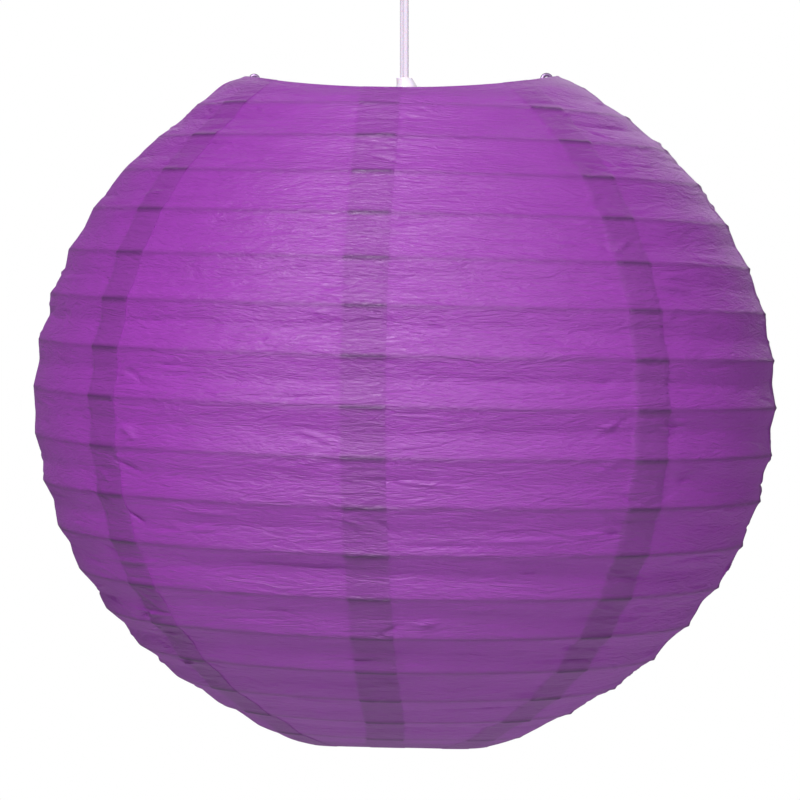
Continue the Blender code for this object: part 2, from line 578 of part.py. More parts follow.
def rose():
    """The base on the ceiling with what it carries: screws, terminal block, cord anchor, tail and cores."""
    base = turned("rose_base", [(0.0, 0.0), (BASE_RADIUS, 0.0), (BASE_RADIUS, -BASE_DEPTH), (0.0, -BASE_DEPTH)],
                  None, ROSE_WHITE, closed=False)
    for side in (-1, 1):
        lug = block(f"lug_{side}", (LUG_WIDTH, 2 * LUG_REACH, LUG_DEPTH),
                    (0.0, side * BASE_RADIUS, -BASE_DEPTH + LUG_DEPTH / 2), None, None, collection=cutters)
        boolean(base, lug, "UNION")
        boolean(base, cutter(f"screw_hole_{side}", SCREW_RADIUS + GAP, 3 * BASE_DEPTH,
                             (side * SCREW_SPACING / 2, 0.0, 0.0), None), "DIFFERENCE")
    boolean(base, cutter("cable_entry", CABLE_ENTRY_RADIUS, 3 * BASE_DEPTH, (0.0, CABLE_ENTRY_OFFSET, 0.0),
                         None), "DIFFERENCE")

    head = -BASE_DEPTH - GAP
    for number, side in enumerate((-1, 1), 1):
        turned(f"rose_screw_{number}", [(0.0, -GAP), (SCREW_RADIUS, -GAP), (SCREW_RADIUS, head),
                                        (2 * SCREW_RADIUS, head), (2 * SCREW_RADIUS, head - SCREW_RADIUS / 2),
                                        (SCREW_RADIUS, head - SCREW_RADIUS), (0.0, head - SCREW_RADIUS)],
               None, STEEL, closed=False, segments=SMALL_SEGMENTS,
               x=side * SCREW_SPACING / 2)
    block("terminal_block", BLOCK_SIZE, (0.0, 0.0, head - BLOCK_SIZE[2] / 2), None,
          ((0.92, 0.90, 0.85), 0.4), bevel=BLOCK_EDGE)
    screw_top = head - BLOCK_SIZE[2] - GAP
    anchor_height = ANCHOR_DEPTH - BASE_DEPTH - GAP
    anchor = block("cord_anchor", (ANCHOR_SPAN, ANCHOR_WIDTH, anchor_height),
                   (0.0, 0.0, head - anchor_height / 2), None, ROSE_WHITE)
    window = block("anchor_window", (BLOCK_SIZE[0] + 2 * ANCHOR_ROOM, 2 * BLOCK_SIZE[1], 2 * anchor_height),
                   (0.0, 0.0, -ANCHOR_DEPTH + ANCHOR_BAR + anchor_height), None, None, collection=cutters)
    boolean(anchor, window, "DIFFERENCE")
    boolean(anchor, cutter("anchor_bore", FLEX_WIDTH / 2 + GAP, 3 * ANCHOR_BAR, (0.0, 0.0, -ANCHOR_DEPTH),
                           None), "DIFFERENCE")

    tail_top = -ANCHOR_DEPTH + ANCHOR_BAR + TAIL_RISE
    tail_foot = -PIVOT_DROP + END_TILT_ROOM
    wire("flex_tail", [(0.0, 0.0, z) for z in np.linspace(tail_top, tail_foot, 4)], FLEX_WIDTH / 2, None,
         CORE_SLEEVE)
    core_start = tail_top + GAP
    core_height = screw_top - CORE_RADIUS - GAP
    end = POST_OFFSET - POST_RADIUS - GAP
    for number, side in enumerate((-1, 1), 1):
        turned(f"terminal_screw_{number}", [(0.0, screw_top), (POST_RADIUS, screw_top),
                                            (POST_RADIUS, screw_top - TERMINAL_HEAD),
                                            (0.0, screw_top - TERMINAL_HEAD)],
               None, BRASS, closed=False, segments=SMALL_SEGMENTS, x=side * POST_OFFSET)
        core = rounded([(side * CORE_OFFSET, 0.0, core_start), (side * CORE_OFFSET, 0.0, core_height),
                        (side * end, 0.0, core_height)], 1.5 * CORE_RADIUS)
        wire(f"rose_core_{number}", core, CORE_RADIUS, None, CORE_SLEEVE)


def rose_cover(parent):
    """The cover: a dome with a boss round the flex's way out, and two tabs over the base's lugs."""
    boss = GROMMET_RADIUS + GAP + 2 * ROSE_WALL
    hole = GROMMET_RADIUS + 2 * GAP
    boss_top = -ROSE_DEPTH + BOSS_HEIGHT
    quarter = np.linspace(0.0, pi / 2, 7)
    drop = ROSE_SIDE + boss_top
    outer = [(boss + (ROSE_RADIUS - boss) * cos(t), -ROSE_SIDE + drop * sin(t)) for t in quarter]
    inner = [(boss + (ROSE_RADIUS - ROSE_WALL - boss) * cos(t), -ROSE_SIDE + (drop + ROSE_WALL) * sin(t))
             for t in quarter]
    cover = turned("rose_cover", [(ROSE_RADIUS, -GAP)] + outer
                   + [(boss, -ROSE_DEPTH), (hole, -ROSE_DEPTH), (hole, inner[-1][1])] + inner[::-1]
                   + [(ROSE_RADIUS - ROSE_WALL, -GAP)], parent, ROSE_WHITE)
    tab_foot = -BASE_DEPTH + LUG_DEPTH + GAP
    tab_height = -2 * GAP - tab_foot
    inner_edge = BASE_RADIUS + TAB_ROOM
    reach = ROSE_RADIUS - ROSE_WALL / 2 - inner_edge
    for side in (-1, 1):
        tab = block(f"tab_{side}", (LUG_WIDTH, reach, tab_height),
                    (0.0, side * (inner_edge + reach / 2), tab_foot + tab_height / 2), parent, None,
                    collection=cutters)
        boolean(cover, tab, "UNION")


def grommet(parent):
    """The rounded bush in the cover's hole, on which the flex swings."""
    half = GROMMET_HALF_HEIGHT
    heights = np.linspace(half, -half, 5)
    outside = [((GROMMET_RADIUS ** 2 - h ** 2) ** 0.5, h) for h in heights]
    turned("swivel_grommet", outside + [(GROMMET_BORE, -half), (GROMMET_BORE, half)], parent,
           ((0.86, 0.84, 0.88), 0.6), segments=MEDIUM_SEGMENTS)


def build():
    """The whole light, from the ceiling down."""
    clear_scene()
    grip_tip = -PIVOT_DROP - FLEX_DROP
    seat = grip_tip - GRIP_TIP
    rim_height = shade_point(rim_angle(TOP_RIM, 0.0), 0.0).z
    middle = seat + HOLDER_BELOW_RIM - rim_height

    rose()
    rose_cover(pivot("cover_axis", 0.0))
    swing = pivot("swing_pivot", -PIVOT_DROP)
    grommet(swing)
    flex_foot = seat + FLEX_END + PIVOT_DROP
    wire("flex", [(0.0, 0.0, z) for z in np.linspace(0.0, flex_foot, FLEX_POINTS)], FLEX_WIDTH / 2, swing,
         CORE_SLEEVE)
    holder = pivot("holder_axis", seat + PIVOT_DROP, swing)
    lampholder(holder)
    shade_ring(pivot("shade_ring_axis", 0.0, holder))
    bulb(pivot("bulb_axis", -TIP_BELOW_SEAT, holder))
    shade = pivot("shade_axis", middle - seat, holder)
    expander(shade, seat - middle)
    for number in range(1, GORES + 1):
        gore(number, shade)
    rib(shade)
    rim_ring("bottom_rim_ring", LOW_RIM, shade)
    rim_ring("top_rim_ring", TOP_RIM, pivot("fold_axis", 0.0, shade))


build()
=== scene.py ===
"""Hanging paper lantern light: the finished look of every piece, in the frame that the design gives.

Metres, +Z up. The ceiling is at z = 0, the lantern hangs below it, -Y is the front.
"""

import bpy
import numpy as np
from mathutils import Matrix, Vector


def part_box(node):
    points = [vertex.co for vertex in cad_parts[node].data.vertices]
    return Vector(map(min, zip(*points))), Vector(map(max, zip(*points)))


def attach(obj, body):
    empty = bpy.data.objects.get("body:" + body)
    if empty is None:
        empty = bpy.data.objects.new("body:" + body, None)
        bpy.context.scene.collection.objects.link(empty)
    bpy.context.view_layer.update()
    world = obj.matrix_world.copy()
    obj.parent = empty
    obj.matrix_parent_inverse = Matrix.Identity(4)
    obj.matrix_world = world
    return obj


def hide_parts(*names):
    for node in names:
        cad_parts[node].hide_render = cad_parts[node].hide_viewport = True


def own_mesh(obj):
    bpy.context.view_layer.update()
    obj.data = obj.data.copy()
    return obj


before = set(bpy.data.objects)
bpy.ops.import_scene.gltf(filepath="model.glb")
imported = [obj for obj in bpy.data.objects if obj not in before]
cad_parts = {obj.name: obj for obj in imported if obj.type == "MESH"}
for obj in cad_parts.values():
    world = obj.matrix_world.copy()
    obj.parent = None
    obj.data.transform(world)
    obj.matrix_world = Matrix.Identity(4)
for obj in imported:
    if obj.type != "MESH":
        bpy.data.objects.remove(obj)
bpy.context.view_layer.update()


# ---- Camera, floor and studio light ----------------------------------------------------------------------
# A long lens looks at the middle of the globe from a little above it. A white room gives even light, a
# soft lamp stands high in front on the left, weak lamps stand inside the globe, and a pale floor lies below.

CAMERA_DISTANCE = 1.65
CAMERA_RISE = np.radians(1.8)
CAMERA_DIP = 0.0004         # of the point that it looks at, below the equator
CAMERA_LENS_MM = 183.0
CAMERA_SIDE = -0.00175      # the lantern hangs a little to the right of the view's middle

TOP_RIM = {"radius": 0.0709, "narrow": 0.0062, "shift": -0.0012, "lift": 0.0019, "saddle": 0.0006,
           "tilt": 0.0}
LOW_RIM = {"radius": 0.0388, "narrow": 0.0, "shift": -0.0031, "lift": -0.0018, "saddle": -0.0012,
           "tilt": -0.0008}
GLOBE_RADIUS = 0.150        # outside of the paper at the equator
GLOBE_HALF_HEIGHT = 0.1415  # of the whole globe that the two rims cut short


def rim_angle(rim, azimuth):
    """A rim's angle down from the globe's top: the arcsine of its radius, which swings twice a turn."""
    angle = np.arcsin((rim["radius"] - rim["narrow"] * np.cos(2 * azimuth)) / GLOBE_RADIUS)
    return angle if rim is TOP_RIM else np.pi - angle


rim_top_height = GLOBE_HALF_HEIGHT * np.cos(rim_angle(TOP_RIM, 0.0)) + TOP_RIM["lift"] + TOP_RIM["saddle"]
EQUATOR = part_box("top_rim_ring")[1][2] - rim_top_height

camera = bpy.data.objects.new("camera", bpy.data.cameras.new("camera"))
camera.data.lens = CAMERA_LENS_MM
camera.data.sensor_width = 36.0
camera.location = (CAMERA_SIDE, -CAMERA_DISTANCE * np.cos(CAMERA_RISE),
                   EQUATOR + CAMERA_DISTANCE * np.sin(CAMERA_RISE))
aim = Vector((CAMERA_SIDE, 0.0, EQUATOR - CAMERA_DIP))
camera.rotation_euler = (aim - camera.location).to_track_quat("-Z", "Y").to_euler()
bpy.context.collection.objects.link(camera)
bpy.context.scene.camera = camera


def lamp(name, place, size, power):
    """A square soft lamp that faces the middle of the globe."""
    light = bpy.data.objects.new(name, bpy.data.lights.new(name, "AREA"))
    light.data.size = size
    light.data.energy = power
    light.location = place
    light.rotation_euler = (Vector((0.0, 0.0, EQUATOR)) - light.location).to_track_quat("-Z", "Y").to_euler()
    bpy.context.collection.objects.link(light)


lamp("key", (-0.6, -1.9, EQUATOR + 1.6), 0.7, 84.0)
lamp("fill", (1.5, -1.5, EQUATOR + 0.8), 1.4, 12.0)
lamp("back", (0.3, 1.8, EQUATOR + 0.9), 1.6, 14.0)
GLOW_RADIUS = 0.080         # four weak lamps stand round the bulb, so that the paper glows evenly
GLOW_DROP = 0.010           # below the equator
GLOW_POWER = 0.115
GLOW_SIZE = 0.030
for number in range(4):
    angle = np.pi / 4 + number * np.pi / 2
    glow = bpy.data.objects.new(f"glow_{number}", bpy.data.lights.new(f"glow_{number}", "POINT"))
    glow.data.energy = GLOW_POWER
    glow.data.shadow_soft_size = GLOW_SIZE
    glow.location = (GLOW_RADIUS * np.cos(angle), GLOW_RADIUS * np.sin(angle), EQUATOR - GLOW_DROP)
    glow.visible_camera = False
    bpy.context.collection.objects.link(glow)

ROOM_LIGHT = 0.17           # the white room's light on the lantern; the camera sees it at full white
room = bpy.data.worlds.new("room")
room.use_nodes = True
sky = room.node_tree
back = sky.nodes["Background"]
back.inputs["Color"].default_value = (1.0, 1.0, 1.0, 1.0)
path = sky.nodes.new("ShaderNodeLightPath")
level = sky.nodes.new("ShaderNodeMapRange")
level.inputs["To Min"].default_value = ROOM_LIGHT
level.inputs["To Max"].default_value = 1.0
sky.links.new(path.outputs["Is Camera Ray"], level.inputs["Value"])
sky.links.new(level.outputs["Result"], back.inputs["Strength"])
bpy.context.scene.world = room
bpy.context.scene.view_settings.view_transform = "Standard"

FLOOR_DEPTH = 1.30          # of the floor below the ceiling
FLOOR_RADIUS = 2.2
bpy.ops.mesh.primitive_circle_add(vertices=96, radius=FLOOR_RADIUS, fill_type="NGON",
                                  location=(0.0, 0.0, -FLOOR_DEPTH))
floor = bpy.context.object
floor.name = "floor"
floor_look = bpy.data.materials.new("floor")
floor_look.use_nodes = True
floor_look.node_tree.nodes["Principled BSDF"].inputs["Base Color"].default_value = (0.86, 0.86, 0.87, 1.0)
floor_look.node_tree.nodes["Principled BSDF"].inputs["Roughness"].default_value = 0.8
floor.data.materials.append(floor_look)


# ---- Flex ------------------------------------------------------------------------------------------------
# Two PVC-covered cores side by side, moulded in one run with a groove between them. The lantern's weight
# holds it straight between the rose's grommet and the lampholder's cord grip.

FLEX_CORE = 0.00115         # radius of one core
FLEX_WEB = 0.00060          # half the thickness at the groove
FLEX_TURN = np.radians(-60)  # of the line through both cores, from +X: the nearer core is on the right
FLEX_ROWS = 66
ROUND = 48


def surface(name, grid, close_rows=False, close_ends=True, smooth=35.0):
    """A mesh over a grid of points, rows by columns. Its columns always close on themselves; its rows close
    too for a ring, or each end gets a middle point and a fan for a closed tube or a turned solid."""
    rows, columns = grid.shape[:2]
    index = np.arange(rows * columns).reshape(rows, columns)
    across = np.roll(index, -1, axis=1)
    below = np.roll(index, -1, axis=0)
    corner = np.roll(across, -1, axis=0)
    quads = np.stack([index, below, corner, across], axis=-1)
    quads = quads if close_rows else quads[:-1]
    faces = quads.reshape(-1, 4).tolist()
    points = grid.reshape(-1, 3)
    if not close_rows and close_ends:
        top, foot = len(points), len(points) + 1
        points = np.vstack([points, grid[0].mean(axis=0), grid[-1].mean(axis=0)])
        faces += np.stack([np.full(columns, top), index[0], across[0]], axis=-1).tolist()
        faces += np.stack([np.full(columns, foot), across[-1], index[-1]], axis=-1).tolist()
    mesh = bpy.data.meshes.new(name)
    mesh.from_pydata(points, [], faces)
    mesh.shade_smooth()
    mesh.set_sharp_from_angle(angle=np.radians(smooth))
    obj = bpy.data.objects.new(name, mesh)
    bpy.context.collection.objects.link(obj)
    return obj


def group(name, inputs, outputs):
    """An empty shader node group with number inputs and outputs of the given kinds, and its two end nodes."""
    made = bpy.data.node_groups.new(name, "ShaderNodeTree")
    for label, value in inputs.items():
        socket = made.interface.new_socket(label, in_out="INPUT", socket_type="NodeSocketFloat")
        socket.default_value = value
    for label, kind in outputs.items():
        made.interface.new_socket(label, in_out="OUTPUT", socket_type=f"NodeSocket{kind}")
    return made, made.nodes.new("NodeGroupInput"), made.nodes.new("NodeGroupOutput")


def node(tree, kind, settings=None, values=None, links=None):
    """A shader node with its settings and socket values, and links into its sockets."""
    made = tree.nodes.new(f"ShaderNode{kind}")
    for key, value in (settings or {}).items():
        setattr(made, key, value)
    for key, value in (values or {}).items():
        made.inputs[key].default_value = value
    for key, source in (links or {}).items():
        tree.links.new(source, made.inputs[key])
    return made


# Grain is what moulding, drawing and handling leave on a surface: a fine noise for the height, a broader
# one for patches, and a little dust where the surface faces up.
grain, grain_in, grain_out = group("grain", {"Scale": 900.0, "Stretch": 1.0, "Patches": 40.0},
                                   {"Height": "Float", "Patch": "Float", "Dust": "Float"})
place = node(grain, "TexCoord")
stretch = node(grain, "CombineXYZ", values={"X": 1.0, "Y": 1.0},
               links={"Z": grain_in.outputs["Stretch"]})
squeezed = node(grain, "VectorMath", {"operation": "MULTIPLY"},
                links={0: place.outputs["Object"], 1: stretch.outputs[0]})
fine = node(grain, "TexNoise", values={"Detail": 4.0, "Roughness": 0.6},
            links={"Vector": squeezed.outputs[0], "Scale": grain_in.outputs["Scale"]})
broad = node(grain, "TexNoise", values={"Detail": 3.0},
             links={"Vector": place.outputs["Object"], "Scale": grain_in.outputs["Patches"]})
facing = node(grain, "NewGeometry")
upward = node(grain, "SeparateXYZ", links={0: facing.outputs["Normal"]})
dust = node(grain, "MapRange", {"interpolation_type": "SMOOTHSTEP"}, {"From Min": 0.55, "From Max": 1.0},
            {"Value": upward.outputs["Z"]})
dusty = node(grain, "Math", {"operation": "MULTIPLY"}, links={0: dust.outputs[0], 1: broad.outputs["Fac"]})
grain.links.new(fine.outputs["Fac"], grain_out.inputs["Height"])
grain.links.new(broad.outputs["Fac"], grain_out.inputs["Patch"])
grain.links.new(dusty.outputs[0], grain_out.inputs["Dust"])


def finish_look(name, colour, roughness, metallic=0.0, depth=0.00002, scale=900.0, stretch=1.0, patches=40.0,
                vary=0.06, dust=0.12, rough_vary=0.10, **sockets):
    """A Principled material whose colour and roughness vary in patches, with fine grain and a little dust."""
    made = bpy.data.materials.new(name)
    made.use_nodes = True
    tree = made.node_tree
    shader = tree.nodes["Principled BSDF"]
    marks = node(tree, "Group", {"node_tree": grain},
                 {"Scale": scale, "Stretch": stretch, "Patches": patches})
    dark = [c * (1.0 - vary) for c in colour]
    light = [min(c * (1.0 + vary), 1.0) for c in colour]
    tone = node(tree, "Mix", {"data_type": "RGBA"}, {"A": (*dark, 1.0), "B": (*light, 1.0)},
                {"Factor": marks.outputs["Patch"]})
    share = node(tree, "Math", {"operation": "MULTIPLY"}, {1: dust}, {0: marks.outputs["Dust"]})
    dusted = node(tree, "Mix", {"data_type": "RGBA"}, {"B": (0.62, 0.60, 0.60, 1.0)},
                  {"Factor": share.outputs[0], "A": tone.outputs["Result"]})
    rough = node(tree, "MapRange", values={"To Min": roughness - rough_vary / 2,
                                           "To Max": roughness + rough_vary / 2},
                 links={"Value": marks.outputs["Patch"]})
    bump = node(tree, "Bump", values={"Strength": 1.0, "Distance": depth},
                links={"Height": marks.outputs["Height"]})
    tree.links.new(dusted.outputs["Result"], shader.inputs["Base Color"])
    tree.links.new(rough.outputs["Result"], shader.inputs["Roughness"])
    tree.links.new(bump.outputs["Normal"], shader.inputs["Normal"])
    shader.inputs["Metallic"].default_value = metallic
    for key, value in sockets.items():
        shader.inputs[key.replace("_", " ")].default_value = value
    return made


def dress(obj, look, body, slot, *nodes):
    """Give a new piece its material and its body, and hide the nodes that it stands for. slot is not used."""
    obj.data.materials.append(look)
    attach(obj, body)
    if nodes:
        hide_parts(*nodes)
    return obj


def coat(look, *nodes):
    """Give carried-over nodes their material."""
    for name in nodes:
        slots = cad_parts[name].material_slots
        if not slots:
            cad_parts[name].data.materials.append(look)
        for held in slots:
            held.material = look


flex_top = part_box("flex")[1][2]
flex_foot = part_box("flex")[0][2]
flex_look = finish_look("flex_pvc", (0.66, 0.60, 0.69), 0.34, depth=0.00001, scale=600.0, stretch=0.15,
                        dust=0.0, Coat_Weight=0.25, Coat_Roughness=0.15, Subsurface_Weight=0.12,
                        Subsurface_Scale=0.002)


def twin(top, foot, rows):
    """A twin flex's skin: at each angle the radius is a core's chord, 2r times the cosine of the angle from
    the line through both cores, joined with the web's half thickness by the root of their squares."""
    angle = np.linspace(0.0, 2 * np.pi, ROUND, endpoint=False)[None, :]
    height = np.linspace(top, foot, rows)[:, None]
    radius = np.hypot((2 * FLEX_CORE) * np.cos(angle), FLEX_WEB) * (2 * FLEX_CORE) / np.hypot(2 * FLEX_CORE,
                                                                                              FLEX_WEB)
    x = radius * np.cos(angle + FLEX_TURN) + 0 * height
    y = radius * np.sin(angle + FLEX_TURN) + 0 * height
    return np.stack([x, y, height + 0 * angle], axis=-1)


flex = dress(surface("flex_twin", twin(flex_top, flex_foot, FLEX_ROWS), smooth=60.0), flex_look, "pendant",
             "flex_pvc", "flex")
tail_low, tail_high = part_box("flex_tail")
dress(surface("flex_tail_twin", twin(tail_high[2], tail_low[2], 12), smooth=60.0), flex_look, "rose",
      "flex_pvc", "flex_tail")
coat(flex_look, "rose_core_1", "rose_core_2", "holder_core_1", "holder_core_2")


# ---- Ceiling rose ----------------------------------------------------------------------------------------
# A white moulded base on the ceiling with two zinc-plated screws, a terminal block and a cord anchor. The
# domed cover twists onto the base's two lugs, and a soft grommet in its middle lets the flex swing.

white_look = finish_look("white_moulding", (0.80, 0.79, 0.80), 0.38, depth=0.000012, scale=1400.0,
                         Coat_Weight=0.15, Coat_Roughness=0.2)
TURN_STEPS = 96


def softened(outline, closed, radius=0.0005, step=0.0012):
    """The outline with every corner cut to a small arc, a quadratic curve through the corner's two sides, and
    its long sides divided, so that a turned piece has no knife edges."""
    points = np.array(outline, float)
    before = np.roll(points, 1, axis=0)
    after = np.roll(points, -1, axis=0)
    to_before = before - points
    to_after = after - points
    reach_before = np.minimum(radius, 0.4 * np.linalg.norm(to_before, axis=1))[:, None]
    reach_after = np.minimum(radius, 0.4 * np.linalg.norm(to_after, axis=1))[:, None]
    start = points + to_before / np.linalg.norm(to_before, axis=1)[:, None] * reach_before
    end = points + to_after / np.linalg.norm(to_after, axis=1)[:, None] * reach_after
    share = np.linspace(0.0, 1.0, 5)[None, :, None]
    arcs = ((1 - share) ** 2 * start[:, None] + 2 * share * (1 - share) * points[:, None]
            + share ** 2 * end[:, None])
    if not closed:
        arcs[0] = points[0]
        arcs[-1] = points[-1]
    path = arcs.reshape(-1, 2)
    path = np.vstack([path, path[:1]]) if closed else path
    length = np.linalg.norm(np.diff(path, axis=0), axis=1)
    keep = np.concatenate([[True], length > 1e-7])
    path = path[keep]
    length = length[keep[1:]]
    counts = np.maximum(1, np.ceil(length / step)).astype(int)
    pieces = [path[i] + (path[i + 1] - path[i]) * np.arange(n)[:, None] / n for i, n in enumerate(counts)]
    fine = np.vstack(pieces)
    return fine if closed else np.vstack([fine, path[-1:]])


def turned(name, outline, closed=True, centre=(0.0, 0.0), relief=None, steps=TURN_STEPS, radius=0.0005,
           step=0.0012):
    """A piece turned about the vertical: each point of the outline, (radius, height) down the outside,
    carried round a circle. relief(radius, height, angle) may add to the radius, for a thread or ribs."""
    path = softened(outline, closed, radius, step)
    if not closed:
        path = path[1:-1] if path[0, 0] == 0.0 and path[-1, 0] == 0.0 else path
    angle = np.linspace(0.0, 2 * np.pi, steps, endpoint=False)[None, :]
    r = path[:, :1] + 0 * angle
    z = path[:, 1:] + 0 * angle
    if relief:
        r = r + relief(r, z, angle)
    grid = np.stack([centre[0] + r * np.cos(angle), centre[1] + r * np.sin(angle), z], axis=-1)
    return surface(name, grid, close_rows=closed)


rose_low, rose_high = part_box("rose_cover")
ROSE_RADIUS = rose_high[0]
ROSE_FOOT = rose_low[2]
ROSE_RIM = rose_high[2]
ROSE_WALL = 0.0020
ROSE_SIDE = -0.0100         # where the cover's straight wall ends and its dome starts
BOSS_RADIUS = 0.0097
BOSS_FOOT = ROSE_FOOT
BOSS_HEIGHT = 0.0030
HOLE_RADIUS = 0.0060
quarter = np.linspace(0.0, np.pi / 2, 25)
boss_top = ROSE_FOOT + BOSS_HEIGHT
outer = np.stack([BOSS_RADIUS + (ROSE_RADIUS - BOSS_RADIUS) * np.cos(quarter),
                  ROSE_SIDE + (boss_top - ROSE_SIDE) * np.sin(quarter)], axis=-1)
inner = np.stack([BOSS_RADIUS + (ROSE_RADIUS - ROSE_WALL - BOSS_RADIUS) * np.cos(quarter),
                  ROSE_SIDE + (boss_top + ROSE_WALL - ROSE_SIDE) * np.sin(quarter)], axis=-1)
cover_outline = ([(ROSE_RADIUS, ROSE_RIM)] + outer.tolist()
                 + [(BOSS_RADIUS, BOSS_FOOT), (HOLE_RADIUS, BOSS_FOOT), (HOLE_RADIUS, boss_top + ROSE_WALL)]
                 + inner[::-1].tolist() + [(ROSE_RADIUS - ROSE_WALL, ROSE_RIM)])
dress(turned("rose_cover_dome", cover_outline, radius=0.0004), white_look, "rose_cover", "rose_plastic",
      "rose_cover")
coat(white_look, "rose_base", "cord_anchor")
block_look = finish_look("terminal_block", (0.76, 0.74, 0.66), 0.45, dust=0.0)
zinc_look = finish_look("zinc_screws", (0.62, 0.63, 0.66), 0.30, metallic=1.0, scale=2500.0, dust=0.0)
coat(block_look, "terminal_block")
coat(zinc_look, "rose_screw_1", "rose_screw_2")

grommet_low, grommet_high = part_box("swivel_grommet")
GROMMET_RADIUS = grommet_high[0]
GROMMET_MIDDLE = (grommet_low[2] + grommet_high[2]) / 2
GROMMET_HALF = (grommet_high[2] - grommet_low[2]) / 2
GROMMET_BORE = 0.0037
rounds = np.linspace(GROMMET_HALF, -GROMMET_HALF, 15)
grommet_outline = ([(np.sqrt(GROMMET_RADIUS ** 2 - h * h), GROMMET_MIDDLE + h) for h in rounds]
                   + [(GROMMET_BORE, GROMMET_MIDDLE - GROMMET_HALF),
                      (GROMMET_BORE, GROMMET_MIDDLE + GROMMET_HALF)])
rubber_look = finish_look("grommet_rubber", (0.66, 0.64, 0.68), 0.62, depth=0.00002, scale=1800.0)
dress(turned("grommet_ring", grommet_outline, radius=0.0003), rubber_look, "grommet", "grommet_rubber",
      "swivel_grommet")


# ---- Lampholder ------------------------------------------------------------------------------------------
# A moulded cap with a domed top and grip ribs, a soft grip that clamps the flex, and a body whose long skirt
# has an outside thread for the shade ring. A ceramic carrier inside holds the brass contacts.

SEAT = (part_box("carrier_ring")[0][2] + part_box("carrier_ring")[1][2]) / 2
holder_look = finish_look("holder_plastic", (0.72, 0.69, 0.73), 0.33, depth=0.000012, scale=1400.0,
                          Coat_Weight=0.2, Coat_Roughness=0.18)
cap_low, cap_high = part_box("holder_cap")
CAP_RADIUS = cap_high[0]
CAP_FOOT = cap_low[2]
CAP_TOP = cap_high[2]
CAP_WALL = 0.0016
NECK_RADIUS = 0.0080
NECK_BORE = 0.0058
NECK_HEIGHT = 0.0030
DOME_RISE = 0.0045
CAP_RIBS = 36
RIB_DEPTH = 0.00030
GAP = 0.0003                # between neighbours that touch in the real object
dome_base = CAP_FOOT - GAP + DOME_RISE
dome_height = CAP_TOP - NECK_HEIGHT - dome_base
dome = np.linspace(0.0, np.pi / 2, 21)
dome_out = [(NECK_RADIUS + (CAP_RADIUS - NECK_RADIUS) * np.sin(t), dome_base + dome_height * np.cos(t))
            for t in dome]
dome_in = [(NECK_RADIUS + (CAP_RADIUS - CAP_WALL - NECK_RADIUS) * np.sin(t),
            dome_base + (dome_height - CAP_WALL) * np.cos(t)) for t in dome]


def ramp(way, width):
    """0 up to where way is 0, then evenly up to 1 over the width, and 1 beyond."""
    return np.clip(way / width, 0.0, 1.0)


def cap_ribs(radius, height, angle):
    """Shallow upright grip ribs on the cap's straight wall: a raised cosine round it, cut at half height."""
    wall = ramp(radius - (CAP_RADIUS - 0.0008), 0.0006)
    low = ramp(dome_base + 0.006 - height, 0.003)
    return -RIB_DEPTH * wall * low * np.clip(np.cos(CAP_RIBS * angle) + 0.3, 0.0, 1.0)


cap_outline = ([(NECK_RADIUS, CAP_TOP)] + dome_out
               + [(CAP_RADIUS, CAP_FOOT), (CAP_RADIUS - CAP_WALL, CAP_FOOT)] + dome_in[::-1]
               + [(NECK_BORE, dome_in[0][1]), (NECK_BORE, CAP_TOP)])
dress(turned("holder_cap_moulding", cap_outline, relief=cap_ribs, steps=CAP_RIBS * 8, radius=0.0003),
      holder_look, "pendant", "holder_plastic", "holder_cap")

grip_low, grip_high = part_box("cord_grip")
GRIP_TIP = grip_high[2]
GRIP_FOOT = grip_low[2]
GRIP_BORE = 0.0026
GRIP_FLANGE = grip_high[0]
GRIP_RADIUS = 0.0055
GRIP_LEAN = 0.0012          # of the wedge to the right
GRIP_EVEN = 0.0002          # that the wedge is thicker all round
WEDGE = ((0.0044, 0.0050), (0.0058, 0.0090))  # its radius at two depths below the tip
grip_shoulder = CAP_TOP + GAP


def grip_lean(radius, height, angle):
    """The grip's wedge sits to the right of the flex: under the tip, it adds a cosine of the angle round it,
    which thins the other side, and a little all round."""
    low = ramp(GRIP_TIP - height, 0.0040) * ramp(height - grip_shoulder, 0.002)
    outer_side = ramp(radius - GRIP_BORE - 0.0002, 0.0004)
    return low * outer_side * (GRIP_LEAN * np.cos(angle) + GRIP_EVEN)


grip_outline = [(GRIP_BORE + 0.0006, GRIP_TIP), (GRIP_BORE + 0.0009, GRIP_TIP - 0.0015),
                *[(radius, GRIP_TIP - drop) for radius, drop in WEDGE],
                (GRIP_FLANGE, grip_shoulder + 0.0016), (GRIP_FLANGE, grip_shoulder),
                (GRIP_RADIUS, grip_shoulder), (GRIP_RADIUS, GRIP_FOOT), (GRIP_BORE, GRIP_FOOT),
                (GRIP_BORE, GRIP_TIP)]
grip_look = finish_look("cord_grip", (0.70, 0.64, 0.73), 0.42, depth=0.000015, scale=1500.0, dust=0.0,
                        Subsurface_Weight=0.15, Subsurface_Scale=0.002)
dress(turned("cord_grip_wedge", grip_outline, relief=grip_lean, radius=0.0004, step=0.0005), grip_look,
      "pendant", "holder_plastic", "cord_grip")

body_low, body_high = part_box("holder_body")
SKIRT_RADIUS = 0.0190
SKIRT_BORE = 0.0165
SKIRT_FOOT = body_low[2]
HOLDER_RADIUS = 0.0195
COLLAR_RADIUS = body_high[0]
COLLAR_FOOT = SEAT + 0.0015
COLLAR_TOP = COLLAR_FOOT + 0.0045
LEDGE_RADIUS = 0.0145
LEDGE_TOP = SEAT - 0.0020
LEDGE_FOOT = LEDGE_TOP - 0.0025
SEAT_RADIUS = 0.0170
THREAD_PITCH = 0.0030
THREAD_DEPTH = 0.0006
THREAD_END = 0.001          # over which a thread runs out


